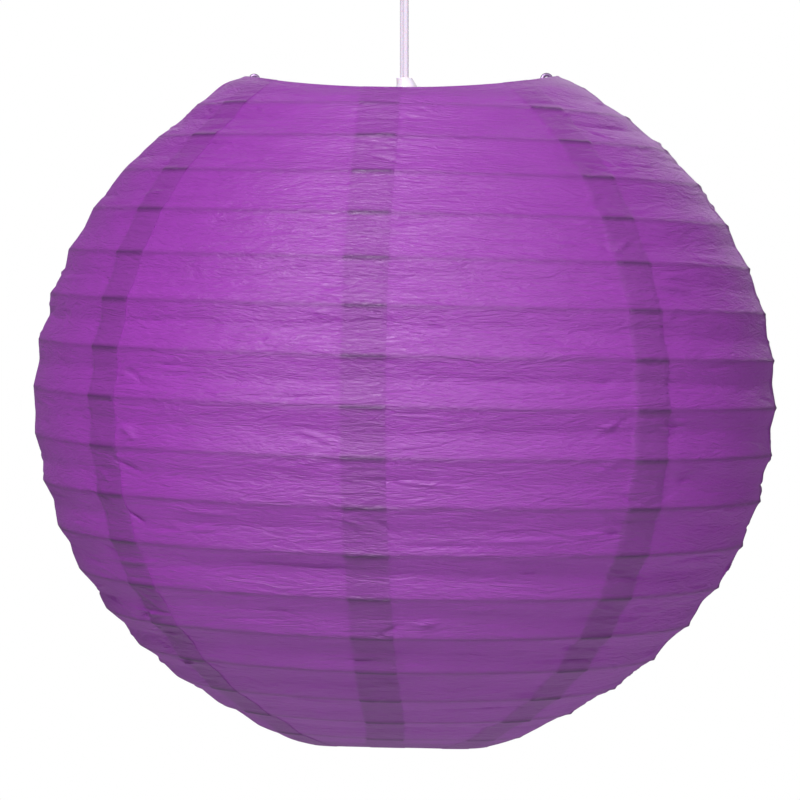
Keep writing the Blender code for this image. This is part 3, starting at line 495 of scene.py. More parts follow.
def skirt_thread(radius, height, angle):
    """A rounded thread cut into the skirt: the depth follows a cosine of the height less the angle's share of
    the pitch, and runs out at both ends."""
    outside = (radius > SKIRT_RADIUS - 0.0005) & (radius < SKIRT_RADIUS + 0.0002)
    run = (ramp(COLLAR_FOOT - 1.5 * THREAD_END - height, THREAD_END)
           * ramp(height - SKIRT_FOOT - THREAD_END, THREAD_END))
    wave = 0.5 - 0.5 * np.cos(2 * np.pi * height / THREAD_PITCH - angle)
    return -THREAD_DEPTH * outside * run * wave


body_outline = [(HOLDER_RADIUS, body_high[2]), (HOLDER_RADIUS, COLLAR_TOP),
                (COLLAR_RADIUS, COLLAR_TOP - GAP), (COLLAR_RADIUS, COLLAR_FOOT), (SKIRT_RADIUS, COLLAR_FOOT),
                (SKIRT_RADIUS, SKIRT_FOOT), (SKIRT_BORE, SKIRT_FOOT), (SKIRT_BORE, LEDGE_FOOT),
                (LEDGE_RADIUS, LEDGE_FOOT), (LEDGE_RADIUS, LEDGE_TOP), (SEAT_RADIUS, LEDGE_TOP),
                (SEAT_RADIUS, body_high[2])]
dress(turned("holder_body_moulding", body_outline, relief=skirt_thread, radius=0.0003, step=0.0004),
      holder_look, "pendant", "holder_plastic", "holder_body")
ceramic_look = finish_look("steatite", (0.74, 0.71, 0.64), 0.55, depth=0.00004, scale=700.0, dust=0.0)
brass_look = finish_look("brass", (0.70, 0.50, 0.20), 0.28, metallic=1.0, scale=2200.0, vary=0.12, dust=0.0)
coat(ceramic_look, "contact_carrier")
coat(brass_look, "centre_contact", "terminal_post_1", "terminal_post_2", "terminal_screw_1",
     "terminal_screw_2")

BULB_PITCH = 0.0036         # of the standard lamp cap's round thread
BULB_THREAD = 0.0009


def round_thread(radius, height, angle):
    """A standard lamp cap's round thread: half a cosine wave deep over one pitch, rising with the angle."""
    wave = 0.5 - 0.5 * np.cos(2 * np.pi * height / BULB_PITCH - angle)
    return -BULB_THREAD * wave


shell_low, shell_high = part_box("screw_shell")
SHELL_WALL = 0.0005
shell_top = shell_high[2]


def shell_thread(radius, height, angle):
    """The same thread in the lampholder's brass shell, half as deep, plain for 2 mm at its top."""
    run = ramp(shell_top - 0.002 - height, 0.001)
    return 0.5 * run * round_thread(radius, height, angle)


shell_outline = [(shell_high[0], shell_high[2]), (shell_high[0], shell_low[2]),
                 (shell_high[0] - SHELL_WALL, shell_low[2]), (shell_high[0] - SHELL_WALL, shell_high[2])]
dress(turned("screw_shell_pressing", shell_outline, relief=shell_thread, radius=0.0001, step=0.0004),
      brass_look, "pendant", "brass", "screw_shell")


# ---- Shade ring ------------------------------------------------------------------------------------------
# A moulded ring with a wide flange, screwed up the lampholder's skirt by hand. It clamps the expander's
# carrier ring against the collar, so its rim has finger notches.

ring_low, ring_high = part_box("shade_ring")
RING_RADIUS = ring_high[0]
RING_WALL = 0.0026
RING_BORE = 0.0194
RING_HUB = RING_BORE + RING_WALL
RING_NOTCHES = 24
NOTCH_DEPTH = 0.0009


def ring_notches(radius, height, angle):
    """Rounded finger notches in the flange's rim, a clipped cosine round it."""
    rim = ramp(radius - RING_RADIUS + 0.0016, 0.0010)
    return -NOTCH_DEPTH * rim * np.clip(1.6 * np.cos(RING_NOTCHES * angle) - 0.6, 0.0, 1.0)


ring_outline = [(RING_RADIUS, ring_high[2]), (RING_RADIUS, ring_high[2] - RING_WALL),
                (RING_HUB, ring_high[2] - RING_WALL - GAP), (RING_HUB, ring_low[2]),
                (RING_BORE, ring_low[2]), (RING_BORE, ring_high[2])]
dress(turned("shade_ring_moulding", ring_outline, relief=ring_notches, steps=RING_NOTCHES * 10,
             radius=0.0004), holder_look, "shade_ring", "holder_plastic", "shade_ring")


# ---- Bulb ------------------------------------------------------------------------------------------------
# An LED bulb with a standard screw cap: a nickel-plated threaded cap with a black glass insulator and a tip
# contact, a white housing that holds the boards, and an opal dome.

cap_box_low, cap_box_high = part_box("bulb_cap")
BULB_CAP_RADIUS = cap_box_high[0]
bulb_cap_top = cap_box_high[2]
bulb_cap_foot = cap_box_low[2]
BULB_SHOULDER = 0.0028
CAP_MOUTH = 0.0096


def cap_thread(radius, height, angle):
    """The round thread on the cap's wall; it fades into the shoulder and the plain band at the foot."""
    run = (ramp(bulb_cap_top - BULB_SHOULDER - height, 0.0012)
           * ramp(height - bulb_cap_foot - 0.0045, 0.0012))
    return run * round_thread(radius, height, angle)


bulb_cap_outline = [(CAP_MOUTH, bulb_cap_top), (BULB_CAP_RADIUS, bulb_cap_top - BULB_SHOULDER),
                    (BULB_CAP_RADIUS, bulb_cap_foot), (BULB_CAP_RADIUS - SHELL_WALL, bulb_cap_foot),
                    (BULB_CAP_RADIUS - SHELL_WALL, bulb_cap_top - BULB_SHOULDER - GAP),
                    (CAP_MOUTH - GAP, bulb_cap_top - GAP)]
nickel_look = finish_look("bulb_nickel", (0.66, 0.65, 0.63), 0.26, metallic=1.0, scale=2600.0, vary=0.1,
                          dust=0.0)
black_look = finish_look("bulb_glass_black", (0.02, 0.02, 0.022), 0.12, dust=0.0)
housing_look = finish_look("bulb_white", (0.80, 0.80, 0.79), 0.40, depth=0.000015, scale=1600.0)
opal_look = finish_look("bulb_opal", (0.86, 0.85, 0.82), 0.45, depth=0.00001, scale=1500.0, vary=0.02,
                        Subsurface_Weight=0.5, Subsurface_Scale=0.003)
board_look = finish_look("board_green", (0.06, 0.24, 0.10), 0.45, dust=0.0)
dress(turned("bulb_cap_pressing", bulb_cap_outline, relief=cap_thread, radius=0.0001, step=0.0004),
      nickel_look, "bulb", "bulb_nickel", "bulb_cap")
coat(nickel_look, "bulb_tip")
coat(black_look, "bulb_insulator")
coat(housing_look, "led_board")
coat(board_look, "driver_board")

housing_low, housing_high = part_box("bulb_housing")
BULB_RADIUS = housing_high[0]
BULB_WALL = 0.0014
HOUSING_NECK = BULB_CAP_RADIUS - SHELL_WALL - GAP
housing_joint = bulb_cap_foot - GAP
flare = np.linspace(0.0, 1.0, 31)
flare_radius = BULB_CAP_RADIUS + (BULB_RADIUS - BULB_CAP_RADIUS) * (0.5 - 0.5 * np.cos(np.pi * flare))
flare_height = housing_joint + (housing_low[2] - housing_joint) * flare
flare_out = np.stack([flare_radius, flare_height], axis=-1)
flare_in = flare_out[1:] - (BULB_WALL, 0.0)
FINS = 20
FIN_DEPTH = 0.0005


def cooling_fins(radius, height, angle):
    """Shallow upright flutes on the housing's flare, deepest half-way down it."""
    share = np.clip((housing_joint - height) / (housing_joint - housing_low[2]), 0.0, 1.0)
    outside = radius > np.interp(share, flare, flare_radius) - 0.0004
    return -FIN_DEPTH * outside * np.sin(np.pi * share) ** 2 * (0.5 + 0.5 * np.cos(FINS * angle))


housing_outline = ([(HOUSING_NECK, housing_high[2]), (HOUSING_NECK, housing_joint)] + flare_out.tolist()
                   + flare_in[::-1].tolist() + [(HOUSING_NECK - BULB_WALL, housing_joint),
                                                (HOUSING_NECK - BULB_WALL, housing_high[2])])
dress(turned("bulb_housing_moulding", housing_outline, relief=cooling_fins, steps=FINS * 12, radius=0.0002),
      housing_look, "bulb", "bulb_white", "bulb_housing")
dome_low, dome_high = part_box("bulb_diffuser")
dome_depth = dome_high[2] - dome_low[2]
opal = np.linspace(0.0, np.pi / 2, 41)
dome_outer = [(BULB_RADIUS * np.cos(t), dome_high[2] - dome_depth * np.sin(t)) for t in opal[:-1]]
dome_inner = [((BULB_RADIUS - BULB_WALL) * np.cos(t), dome_high[2] - (dome_depth - BULB_WALL) * np.sin(t))
              for t in opal[:-1]]
dress(turned("bulb_dome", [(0.0, dome_low[2] + BULB_WALL)] + dome_inner[::-1] + dome_outer
             + [(0.0, dome_low[2])], closed=False, radius=0.0003), opal_look, "bulb", "bulb_opal",
      "bulb_diffuser")


# ---- Expander --------------------------------------------------------------------------------------------
# One bent spring wire pushes the two rims apart: a hook at the left, an eyelet at the right, a hairpin foot
# under each leg and a bar between them. Two bridge wires hold the carrier ring that the lampholder clamps.

RIM_WIRE = 0.0016
PAPER = 0.0003
EXPANDER_WIRE = 0.0016
HOOK_ROOM = 0.0010
EYELET_RADIUS = 0.0019
HOOK_RADIUS = 0.0016
BRIDGE_DROP = 0.0080
BRIDGE_RUN = 0.0070
FOOT_SPREAD = 0.0030
BEND = 0.0030
CARRIER_WIRE = 0.0024
PULL_ANGLE = np.radians(16.0)  # how far from a rim its pull still bends the globe


def globe(theta, azimuth, inset=0.0):
    """Points of the globe: an ellipsoid less the inset, pulled over to each rim's own place near it by a
    smooth step of the angle from that rim."""
    flat = (GLOBE_RADIUS - inset) * np.sin(theta)
    x = flat * np.cos(azimuth)
    y = flat * np.sin(azimuth)
    z = EQUATOR + (GLOBE_HALF_HEIGHT - inset) * np.cos(theta)
    for rim in (TOP_RIM, LOW_RIM):
        share = np.clip(1.0 - np.abs(theta - rim_angle(rim, azimuth)) / PULL_ANGLE, 0.0, 1.0)
        pull = share * share * (3.0 - 2.0 * share)
        x = x + pull * rim["shift"]
        z = z + pull * (rim["lift"] + rim["saddle"] * np.cos(2 * azimuth) + rim["tilt"] * np.cos(azimuth))
    return np.stack(np.broadcast_arrays(x, y, z), axis=-1)


def rim_line(rim, azimuth):
    """The middle of a rim ring's wire: inside the paper's edge by its own radius, level with the edge."""
    inset = PAPER + GAP + RIM_WIRE / 2
    edge = globe(rim_angle(rim, azimuth), azimuth)
    out = edge[..., :2] - (rim["shift"], 0.0)
    length = np.linalg.norm(out, axis=-1, keepdims=True)
    flat = out / length * (length - inset) + (rim["shift"], 0.0)
    inwards = -1.0 if rim is TOP_RIM else 1.0
    return np.concatenate([flat, edge[..., 2:] + inwards * RIM_WIRE / 2], axis=-1)


def rounded(points, radius, steps=10):
    """The path with each inner corner replaced by an arc of this radius, or of what its sides leave."""
    path = [Vector(p) for p in points]
    out = [path[0]]
    for before, corner, after in zip(path, path[1:], path[2:]):
        to_before = (before - corner).normalized()
        to_after = (after - corner).normalized()
        half = to_before.angle(to_after) / 2
        room = 0.45 * min((before - corner).length, (after - corner).length)
        reach = min(radius / np.tan(half), room)
        middle = corner + (to_before + to_after).normalized() * np.hypot(reach, reach * np.tan(half))
        first = corner + to_before * reach - middle
        last = corner + to_after * reach - middle
        turn = first.angle(last)
        for k in range(steps + 1):
            share = k / steps
            out.append(middle + (first * np.sin((1 - share) * turn) + last * np.sin(share * turn))
                       / np.sin(turn))
    out.append(path[-1])
    return out


def tube(name, path, radius, closed=False, sides=16, step=None, smooth=60.0):
    """A round wire along a path. The frame is carried along without twist, and the ends are rounded by three
    smaller circles, whose radius and reach follow a quarter circle."""
    points = np.array([tuple(p) for p in path], float)
    if step:
        ring = np.vstack([points, points[:1]]) if closed else points
        length = np.concatenate([[0.0], np.cumsum(np.linalg.norm(np.diff(ring, axis=0), axis=1))])
        at = np.linspace(0.0, length[-1], max(2, int(length[-1] / step)) + 1)
        at = at[:-1] if closed else at
        points = np.stack([np.interp(at, length, ring[:, k]) for k in range(3)], axis=-1)
    ahead = np.roll(points, -1, axis=0)
    behind = np.roll(points, 1, axis=0)
    if not closed:
        ahead[-1] = points[-1]
        behind[0] = points[0]
    tangent = ahead - behind
    tangent /= np.linalg.norm(tangent, axis=1)[:, None]
    start = np.cross(tangent[0], (0.0, 0.0, 1.0) if abs(tangent[0, 2]) < 0.9 else (1.0, 0.0, 0.0))
    sideways = [start / np.linalg.norm(start)]
    for t in tangent[1:]:
        carried = sideways[-1] - t * (sideways[-1] @ t)
        sideways.append(carried / np.linalg.norm(carried))
    side = np.array(sideways)
    upright = np.cross(tangent, side)
    width = np.full(len(points), radius)
    if not closed:
        ends = np.radians([8.0, 35.0, 62.0])
        caps = []
        for at, sign, order in ((0, -1, 1), (-1, 1, -1)):
            caps.append([(points[at] + sign * tangent[at] * radius * np.cos(a), side[at], upright[at],
                          radius * np.sin(a)) for a in ends[::order]])
        points = np.vstack([[c[0] for c in caps[0]], points, [c[0] for c in caps[1]]])
        side = np.vstack([[c[1] for c in caps[0]], side, [c[1] for c in caps[1]]])
        upright = np.vstack([[c[2] for c in caps[0]], upright, [c[2] for c in caps[1]]])
        width = np.concatenate([[c[3] for c in caps[0]], width, [c[3] for c in caps[1]]])
    angle = np.linspace(0.0, 2 * np.pi, sides, endpoint=False)[None, :, None]
    grid = (points[:, None] + width[:, None, None]
            * (np.cos(angle) * side[:, None] - np.sin(angle) * upright[:, None]))
    return surface(name, grid, close_rows=closed, smooth=smooth)


steel_look = finish_look("spring_steel", (0.30, 0.20, 0.36), 0.42, metallic=0.8, scale=1500.0, stretch=0.2,
                         vary=0.18, dust=0.0)
RING = {"top": rim_line(TOP_RIM, np.array([0.0, np.pi])), "low": rim_line(LOW_RIM, np.array([0.0, np.pi]))}


def eyelet(ring):
    """The right-hand end: a coil that leans forward as it turns, and a tail outwards over the rim."""
    clear = RIM_WIRE / 2 + HOOK_ROOM + EXPANDER_WIRE / 2
    centre = ring - (clear + EYELET_RADIUS, 0.0, 0.0)
    share = np.linspace(0.0, 1.0, 37)[:, None]
    angle = 1.5 * np.pi * share
    lean = np.array([[0.0, -EXPANDER_WIRE - GAP, 0.0]])
    circle = np.concatenate([np.cos(angle), 0 * angle, np.sin(angle)], axis=1)
    coil = centre + EYELET_RADIUS * circle + lean * share
    tail_end = coil[-1].copy()
    tail_end[0] = ring[0] - RIM_WIRE / 2 - 2 * GAP
    return [*coil, tail_end]


def hook(ring):
    """The left-hand end, from its tip beside the rim ring: up, over a bend and onto the leg."""
    centre = ring + (RIM_WIRE / 2 + 2 * GAP + EXPANDER_WIRE / 2 + HOOK_RADIUS, 0.0, 0.0)
    angle = np.linspace(np.pi, 0.0, 17)[:, None]
    bend = centre + HOOK_RADIUS * np.concatenate([np.cos(angle), 0 * angle, np.sin(angle)], axis=1)
    return [bend[0] - (0.0, 0.0, 2 * HOOK_RADIUS), *bend]


def foot(ring, side):
    """A hairpin that bears on the bottom ring from above, and the corner under the leg; it starts at the
    bar."""
    half = FOOT_SPREAD / 2
    height = ring[2] + RIM_WIRE / 2 + GAP + EXPANDER_WIRE / 2
    middle = ring[0] - side * half / 2
    angle = np.linspace(np.pi / 2, -np.pi / 2, 17)
    turn = [np.array([middle + side * half * np.cos(a), half * np.sin(a), height]) for a in angle]
    inner = ring[0] - side * (RIM_WIRE / 2 + EXPANDER_WIRE + BEND)
    return turn, np.array([inner, -half, height])


hook_end = hook(RING["top"][1])
eyelet_end = eyelet(RING["top"][0])
left_foot, left_corner = foot(RING["low"][1], -1)
right_foot, right_corner = foot(RING["low"][0], 1)
left_leg = rounded([hook_end[-1], left_corner, left_foot[-1]], BEND)[1:]
right_leg = rounded([right_foot[-1], right_corner, eyelet_end[0]], BEND)[1:]
expander_path = hook_end + left_leg + left_foot[-2::-1] + right_foot + right_leg + eyelet_end[1:]
dress(tube("expander", expander_path, EXPANDER_WIRE / 2), steel_look, "shade", "spring_steel",
      "expander_wire")

CARRIER_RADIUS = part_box("carrier_ring")[1][0] - CARRIER_WIRE / 2
around = np.linspace(0.0, 2 * np.pi, 96, endpoint=False)
carrier_circle = np.stack([CARRIER_RADIUS * np.cos(around), CARRIER_RADIUS * np.sin(around),
                           SEAT + 0 * around], axis=-1)
dress(tube("carrier", carrier_circle, CARRIER_WIRE / 2, closed=True), steel_look, "shade", "spring_steel",
      "carrier_ring")
for name, side, top, bottom in (("bridge_left", -1, hook_end[-1], left_corner),
                                ("bridge_right", 1, eyelet_end[0], right_corner)):
    start = top + (bottom - top) * BRIDGE_DROP / (top[2] - bottom[2])
    start = start - (side * (EXPANDER_WIRE / 2 + GAP), 0.0, 0.0)
    end = np.array([side * (CARRIER_RADIUS + CARRIER_WIRE / 2 + GAP), start[1], SEAT])
    level = np.array([side * BRIDGE_RUN, 0.0, 0.0])
    dress(tube(f"{name}_bar", rounded([start, start - level, end + level, end], BEND), EXPANDER_WIRE / 2),
          steel_look, "shade", "spring_steel", name)


# ---- Rim rings and rib -----------------------------------------------------------------------------------
# Thin steel wire in a dark purple. Each rim ring lies in the paper's folded edge. The rib is one
# long left-handed spiral, glued to the inside of the paper all the way from rim to rim.

RIB_WIRE = 0.0010
RIB_PITCH = np.radians(7.7)
RIB_AT_ZERO = np.radians(45.2)  # a turn's angle down from the top, where it crosses +X
RIB_TOP = np.radians(32.2)
RIB_BOTTOM = np.radians(161.4)
RIB_INSET = 0.00085         # middle of the rib wire below the paper's outside
ring_top = rim_line(TOP_RIM, around)[:, 2].mean()
ring_low = rim_line(LOW_RIM, around)[:, 2].mean()


def folds(obj):
    """Gives the piece a mesh of its own."""
    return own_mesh(obj)


dark_purple_wire_look = finish_look("dark_purple_wire", (0.16, 0.045, 0.22), 0.45, metallic=0.35, scale=1200.0, vary=0.25,
                           dust=0.0)
fine_around = np.linspace(0.0, 2 * np.pi, 240, endpoint=False)
folds(dress(tube("bottom_rim", rim_line(LOW_RIM, fine_around), RIM_WIRE / 2, closed=True), dark_purple_wire_look,
            "shade", "purple_wire", "bottom_rim_ring"))
folds(dress(tube("top_rim_wire", rim_line(TOP_RIM, fine_around), RIM_WIRE / 2, closed=True), dark_purple_wire_look,
            "shade", "purple_wire", "top_rim_ring"))
turns = np.linspace((RIB_TOP - RIB_AT_ZERO) / RIB_PITCH, (RIB_BOTTOM - RIB_AT_ZERO) / RIB_PITCH, 1500)
rib_path = globe(RIB_AT_ZERO + RIB_PITCH * turns, 2 * np.pi * turns, RIB_INSET)
folds(dress(tube("rib_spiral", rib_path, RIB_WIRE / 2, sides=8), dark_purple_wire_look, "shade", "purple_wire",
            "rib_wire"))


# ---- Paper shade -----------------------------------------------------------------------------------------
# Eight gores of thin dyed paper, each glued over the next one's edge and to the rib. Between turns of the rib
# the paper falls inwards to a crease, and it puckers towards the seams. At each rim it is folded over the
# ring and glued down inside.

GORES = 8
FIRST_SEAM = np.radians(39.0)
SHEET = 0.00014             # thickness of one layer of paper
LAP_WIDTH = 0.0168          # of the glued overlap at the equator
LAP_WIDTH_AT_RIM = 0.0140
LAP_RISE = 0.00012          # of the outer layer over the inner one
FOLD_DEPTH = 0.0023         # of the crease between two turns, at its deepest
SHALLOW_ABOVE = np.radians(50.0)  # down from the top: the folds are half as deep above here, and shallower
SHALLOW_BELOW = np.radians(122.0)  # again below here
FOLD_CORNER = 0.10          # roundness of the crease, as a share of the half band
TURN_ROWS = 24              # rows of the mesh in a turn of the rib
COLUMNS = 84
WRAP_ROWS = 12              # round the rim ring
TUCK_ROWS = 10              # folded down inside
TUCK_SPREAD = 0.00045       # between the tuck's end and the paper that it is glued to
WIRE_ROOM = 0.0001          # between the rim ring and the paper round it
RIM_REACH = 0.003           # over which the paper eases on to its ring
CREASES = 70                # short level creases in each gore
CREASE_SPREAD = (0.058, 0.17)  # of their middles across and down from the gore's middle
CREASE_SLOPE = 0.06
CREASE_LENGTH = (0.006, 0.030)  # from a crease's middle to its ends
CREASE_WIDTH = (0.0006, 0.0011)
CREASE_DEPTH = (0.00030, 0.00090)
PUCKERS = 26                # slanting creases beside the seams of each gore
PUCKER_PLACE = (0.036, 0.060)  # across from the gore's middle
PUCKER_SPREAD = 0.15
PUCKER_SLOPE = 0.75
PUCKER_LENGTH = (0.004, 0.013)
PUCKER_WIDTH = (0.0008, 0.0014)
PUCKER_DEPTH = (0.00050, 0.00120)
DRAPE = 0.00042             # slow waves of the paper between the ribs
CRINKLE = 0.00026
KNOB = 0.00045              # of the glue where the rib crosses a seam
HOOK_BUMP = 0.0013          # paper lifted by the expander's hook


def waves(seed, lowest, highest, count, flatten=1.0):
    """A smooth field of about -1..1 in space: a sum of cosines of random direction and of wavelengths between
    the two limits in metres. flatten makes its features that much longer round the globe than down it."""
    random = np.random.default_rng(seed)
    length = np.exp(random.uniform(np.log(lowest), np.log(highest), count))
    slant = random.uniform(-0.5 * np.pi, 0.5 * np.pi, count)
    heading = random.uniform(0.0, 2 * np.pi, count)
    start = random.uniform(0.0, 2 * np.pi, count)
    level = 2 * np.pi / length * np.cos(slant) / flatten
    steep = 2 * np.pi / length * np.sin(slant)
    high = 1.6 * length / length.sum()

    def field(x, y, down):
        return sum(h * np.cos(k * (x * np.cos(a) + y * np.sin(a)) + d * down + s)
                   for h, k, a, d, s in zip(high, level, heading, steep, start))
    return field


def along_rib(seed, count=24, shortest=0.10, longest=1.3):
    """A smooth number of about -1..1 along the spiral: a sum of cosines of its length in turns."""
    random = np.random.default_rng(seed)
    length = np.exp(random.uniform(np.log(shortest), np.log(longest), count))
    start = random.uniform(0.0, 2 * np.pi, count)
    high = 1.8 * length ** 0.5 / (length ** 0.5).sum() * 1.6
    return lambda turns: sum(h * np.cos(2 * np.pi / k * turns + s) for h, k, s in zip(high, length, start))


depth_noise = along_rib(21)
crease_noise = along_rib(22)
drape = waves(15, 0.012, 0.060, 12, flatten=2.5)
crinkle = waves(14, 0.004, 0.016, 16, flatten=3.5)


def fold_shape(part, crease):
    """The way from a rib (0) down to the crease (1) and out to the next rib (0): two straight runs that meet
    in a tight curve, because a root of squares takes the place of the corner."""
    rise = np.where(part < crease, part / crease, (1.0 - part) / (1.0 - crease))
    whole = np.hypot(1.0, FOLD_CORNER)
    return (whole - np.hypot(1.0 - rise, FOLD_CORNER)) / (whole - FOLD_CORNER)


def short_creases(number):
    """Random creases of one gore, in metres across and down from its middle: place, slope, half length, half
    width and depth. Those beside the seams slant, and the others are nearly level."""
    random = np.random.default_rng(100 + number)
    for k in range(CREASES + PUCKERS):
        if k < CREASES:
            across, down = CREASE_SPREAD
            yield (random.uniform(-across, across), random.uniform(-down, down),
                   random.normal(0.0, CREASE_SLOPE), random.uniform(*CREASE_LENGTH),
                   random.uniform(*CREASE_WIDTH), random.uniform(*CREASE_DEPTH) * random.choice([-1.0, 1.0]))
        else:
            edge = random.choice([-1.0, 1.0])
            yield (edge * random.uniform(*PUCKER_PLACE), random.uniform(-PUCKER_SPREAD, PUCKER_SPREAD),
                   random.uniform(-PUCKER_SLOPE, PUCKER_SLOPE), random.uniform(*PUCKER_LENGTH),
                   random.uniform(*PUCKER_WIDTH), random.uniform(*PUCKER_DEPTH) * random.choice([-1.0, 1.0]))


def crumple(number, theta, azimuth):
    """The height of the creases of a gore and its two neighbours: along each one a bell curve of the distance
    from its line, times a smooth step down to nothing at its ends."""
    total = np.zeros_like(azimuth)
    width = 2 * np.pi / GORES
    down = (theta - 0.5 * np.pi) * GLOBE_RADIUS
    for near in (number - 1, number, number + 1):
        middle = FIRST_SEAM + width * (near + 0.5)
        across = (azimuth - middle) * GLOBE_RADIUS * np.sin(theta)
        for x, height, slope, half_length, half_width, depth in short_creases(near % GORES):
            along = (across - x) / half_length
            off = (down - height - slope * (across - x)) / half_width
            total += depth * np.exp(-off * off) * np.clip(1.0 - along * along, 0.0, 1.0) ** 2
    return total


def round_the_rim(rim, edge, before, azimuth):
    """Rows of paper from a rim's edge round its ring: half a circle about the wire, in the plane of the last
    rows and the vertical, from the side that the paper comes from to the side that it is tucked to."""
    ring = rim_line(rim, azimuth)
    ahead = edge - before
    ahead /= np.linalg.norm(ahead, axis=-1, keepdims=True)
    out = np.stack([np.cos(azimuth), np.sin(azimuth), 0 * azimuth], axis=-1)
    run = (ahead * out).sum(axis=-1)[:, None]
    proud = ahead[:, 2:] * out - run * (0.0, 0.0, 1.0)
    proud *= 1.0 if rim is TOP_RIM else -1.0
    proud /= np.linalg.norm(proud, axis=-1, keepdims=True)
    turn = np.linspace(0.0, np.pi, WRAP_ROWS)[:, None, None]
    radius = RIM_WIRE / 2 + SHEET + WIRE_ROOM
    return ring + radius * (np.cos(turn) * proud + np.sin(turn) * ahead), ring, proud


def tucked(theta, azimuth, inset, deep):
    """Rows under the paper's first rows: the same points, further in, by less and less towards the end."""
    extra = np.linspace(deep, TUCK_SPREAD, TUCK_ROWS)[:, None]
    return globe(theta, azimuth, inset + extra)


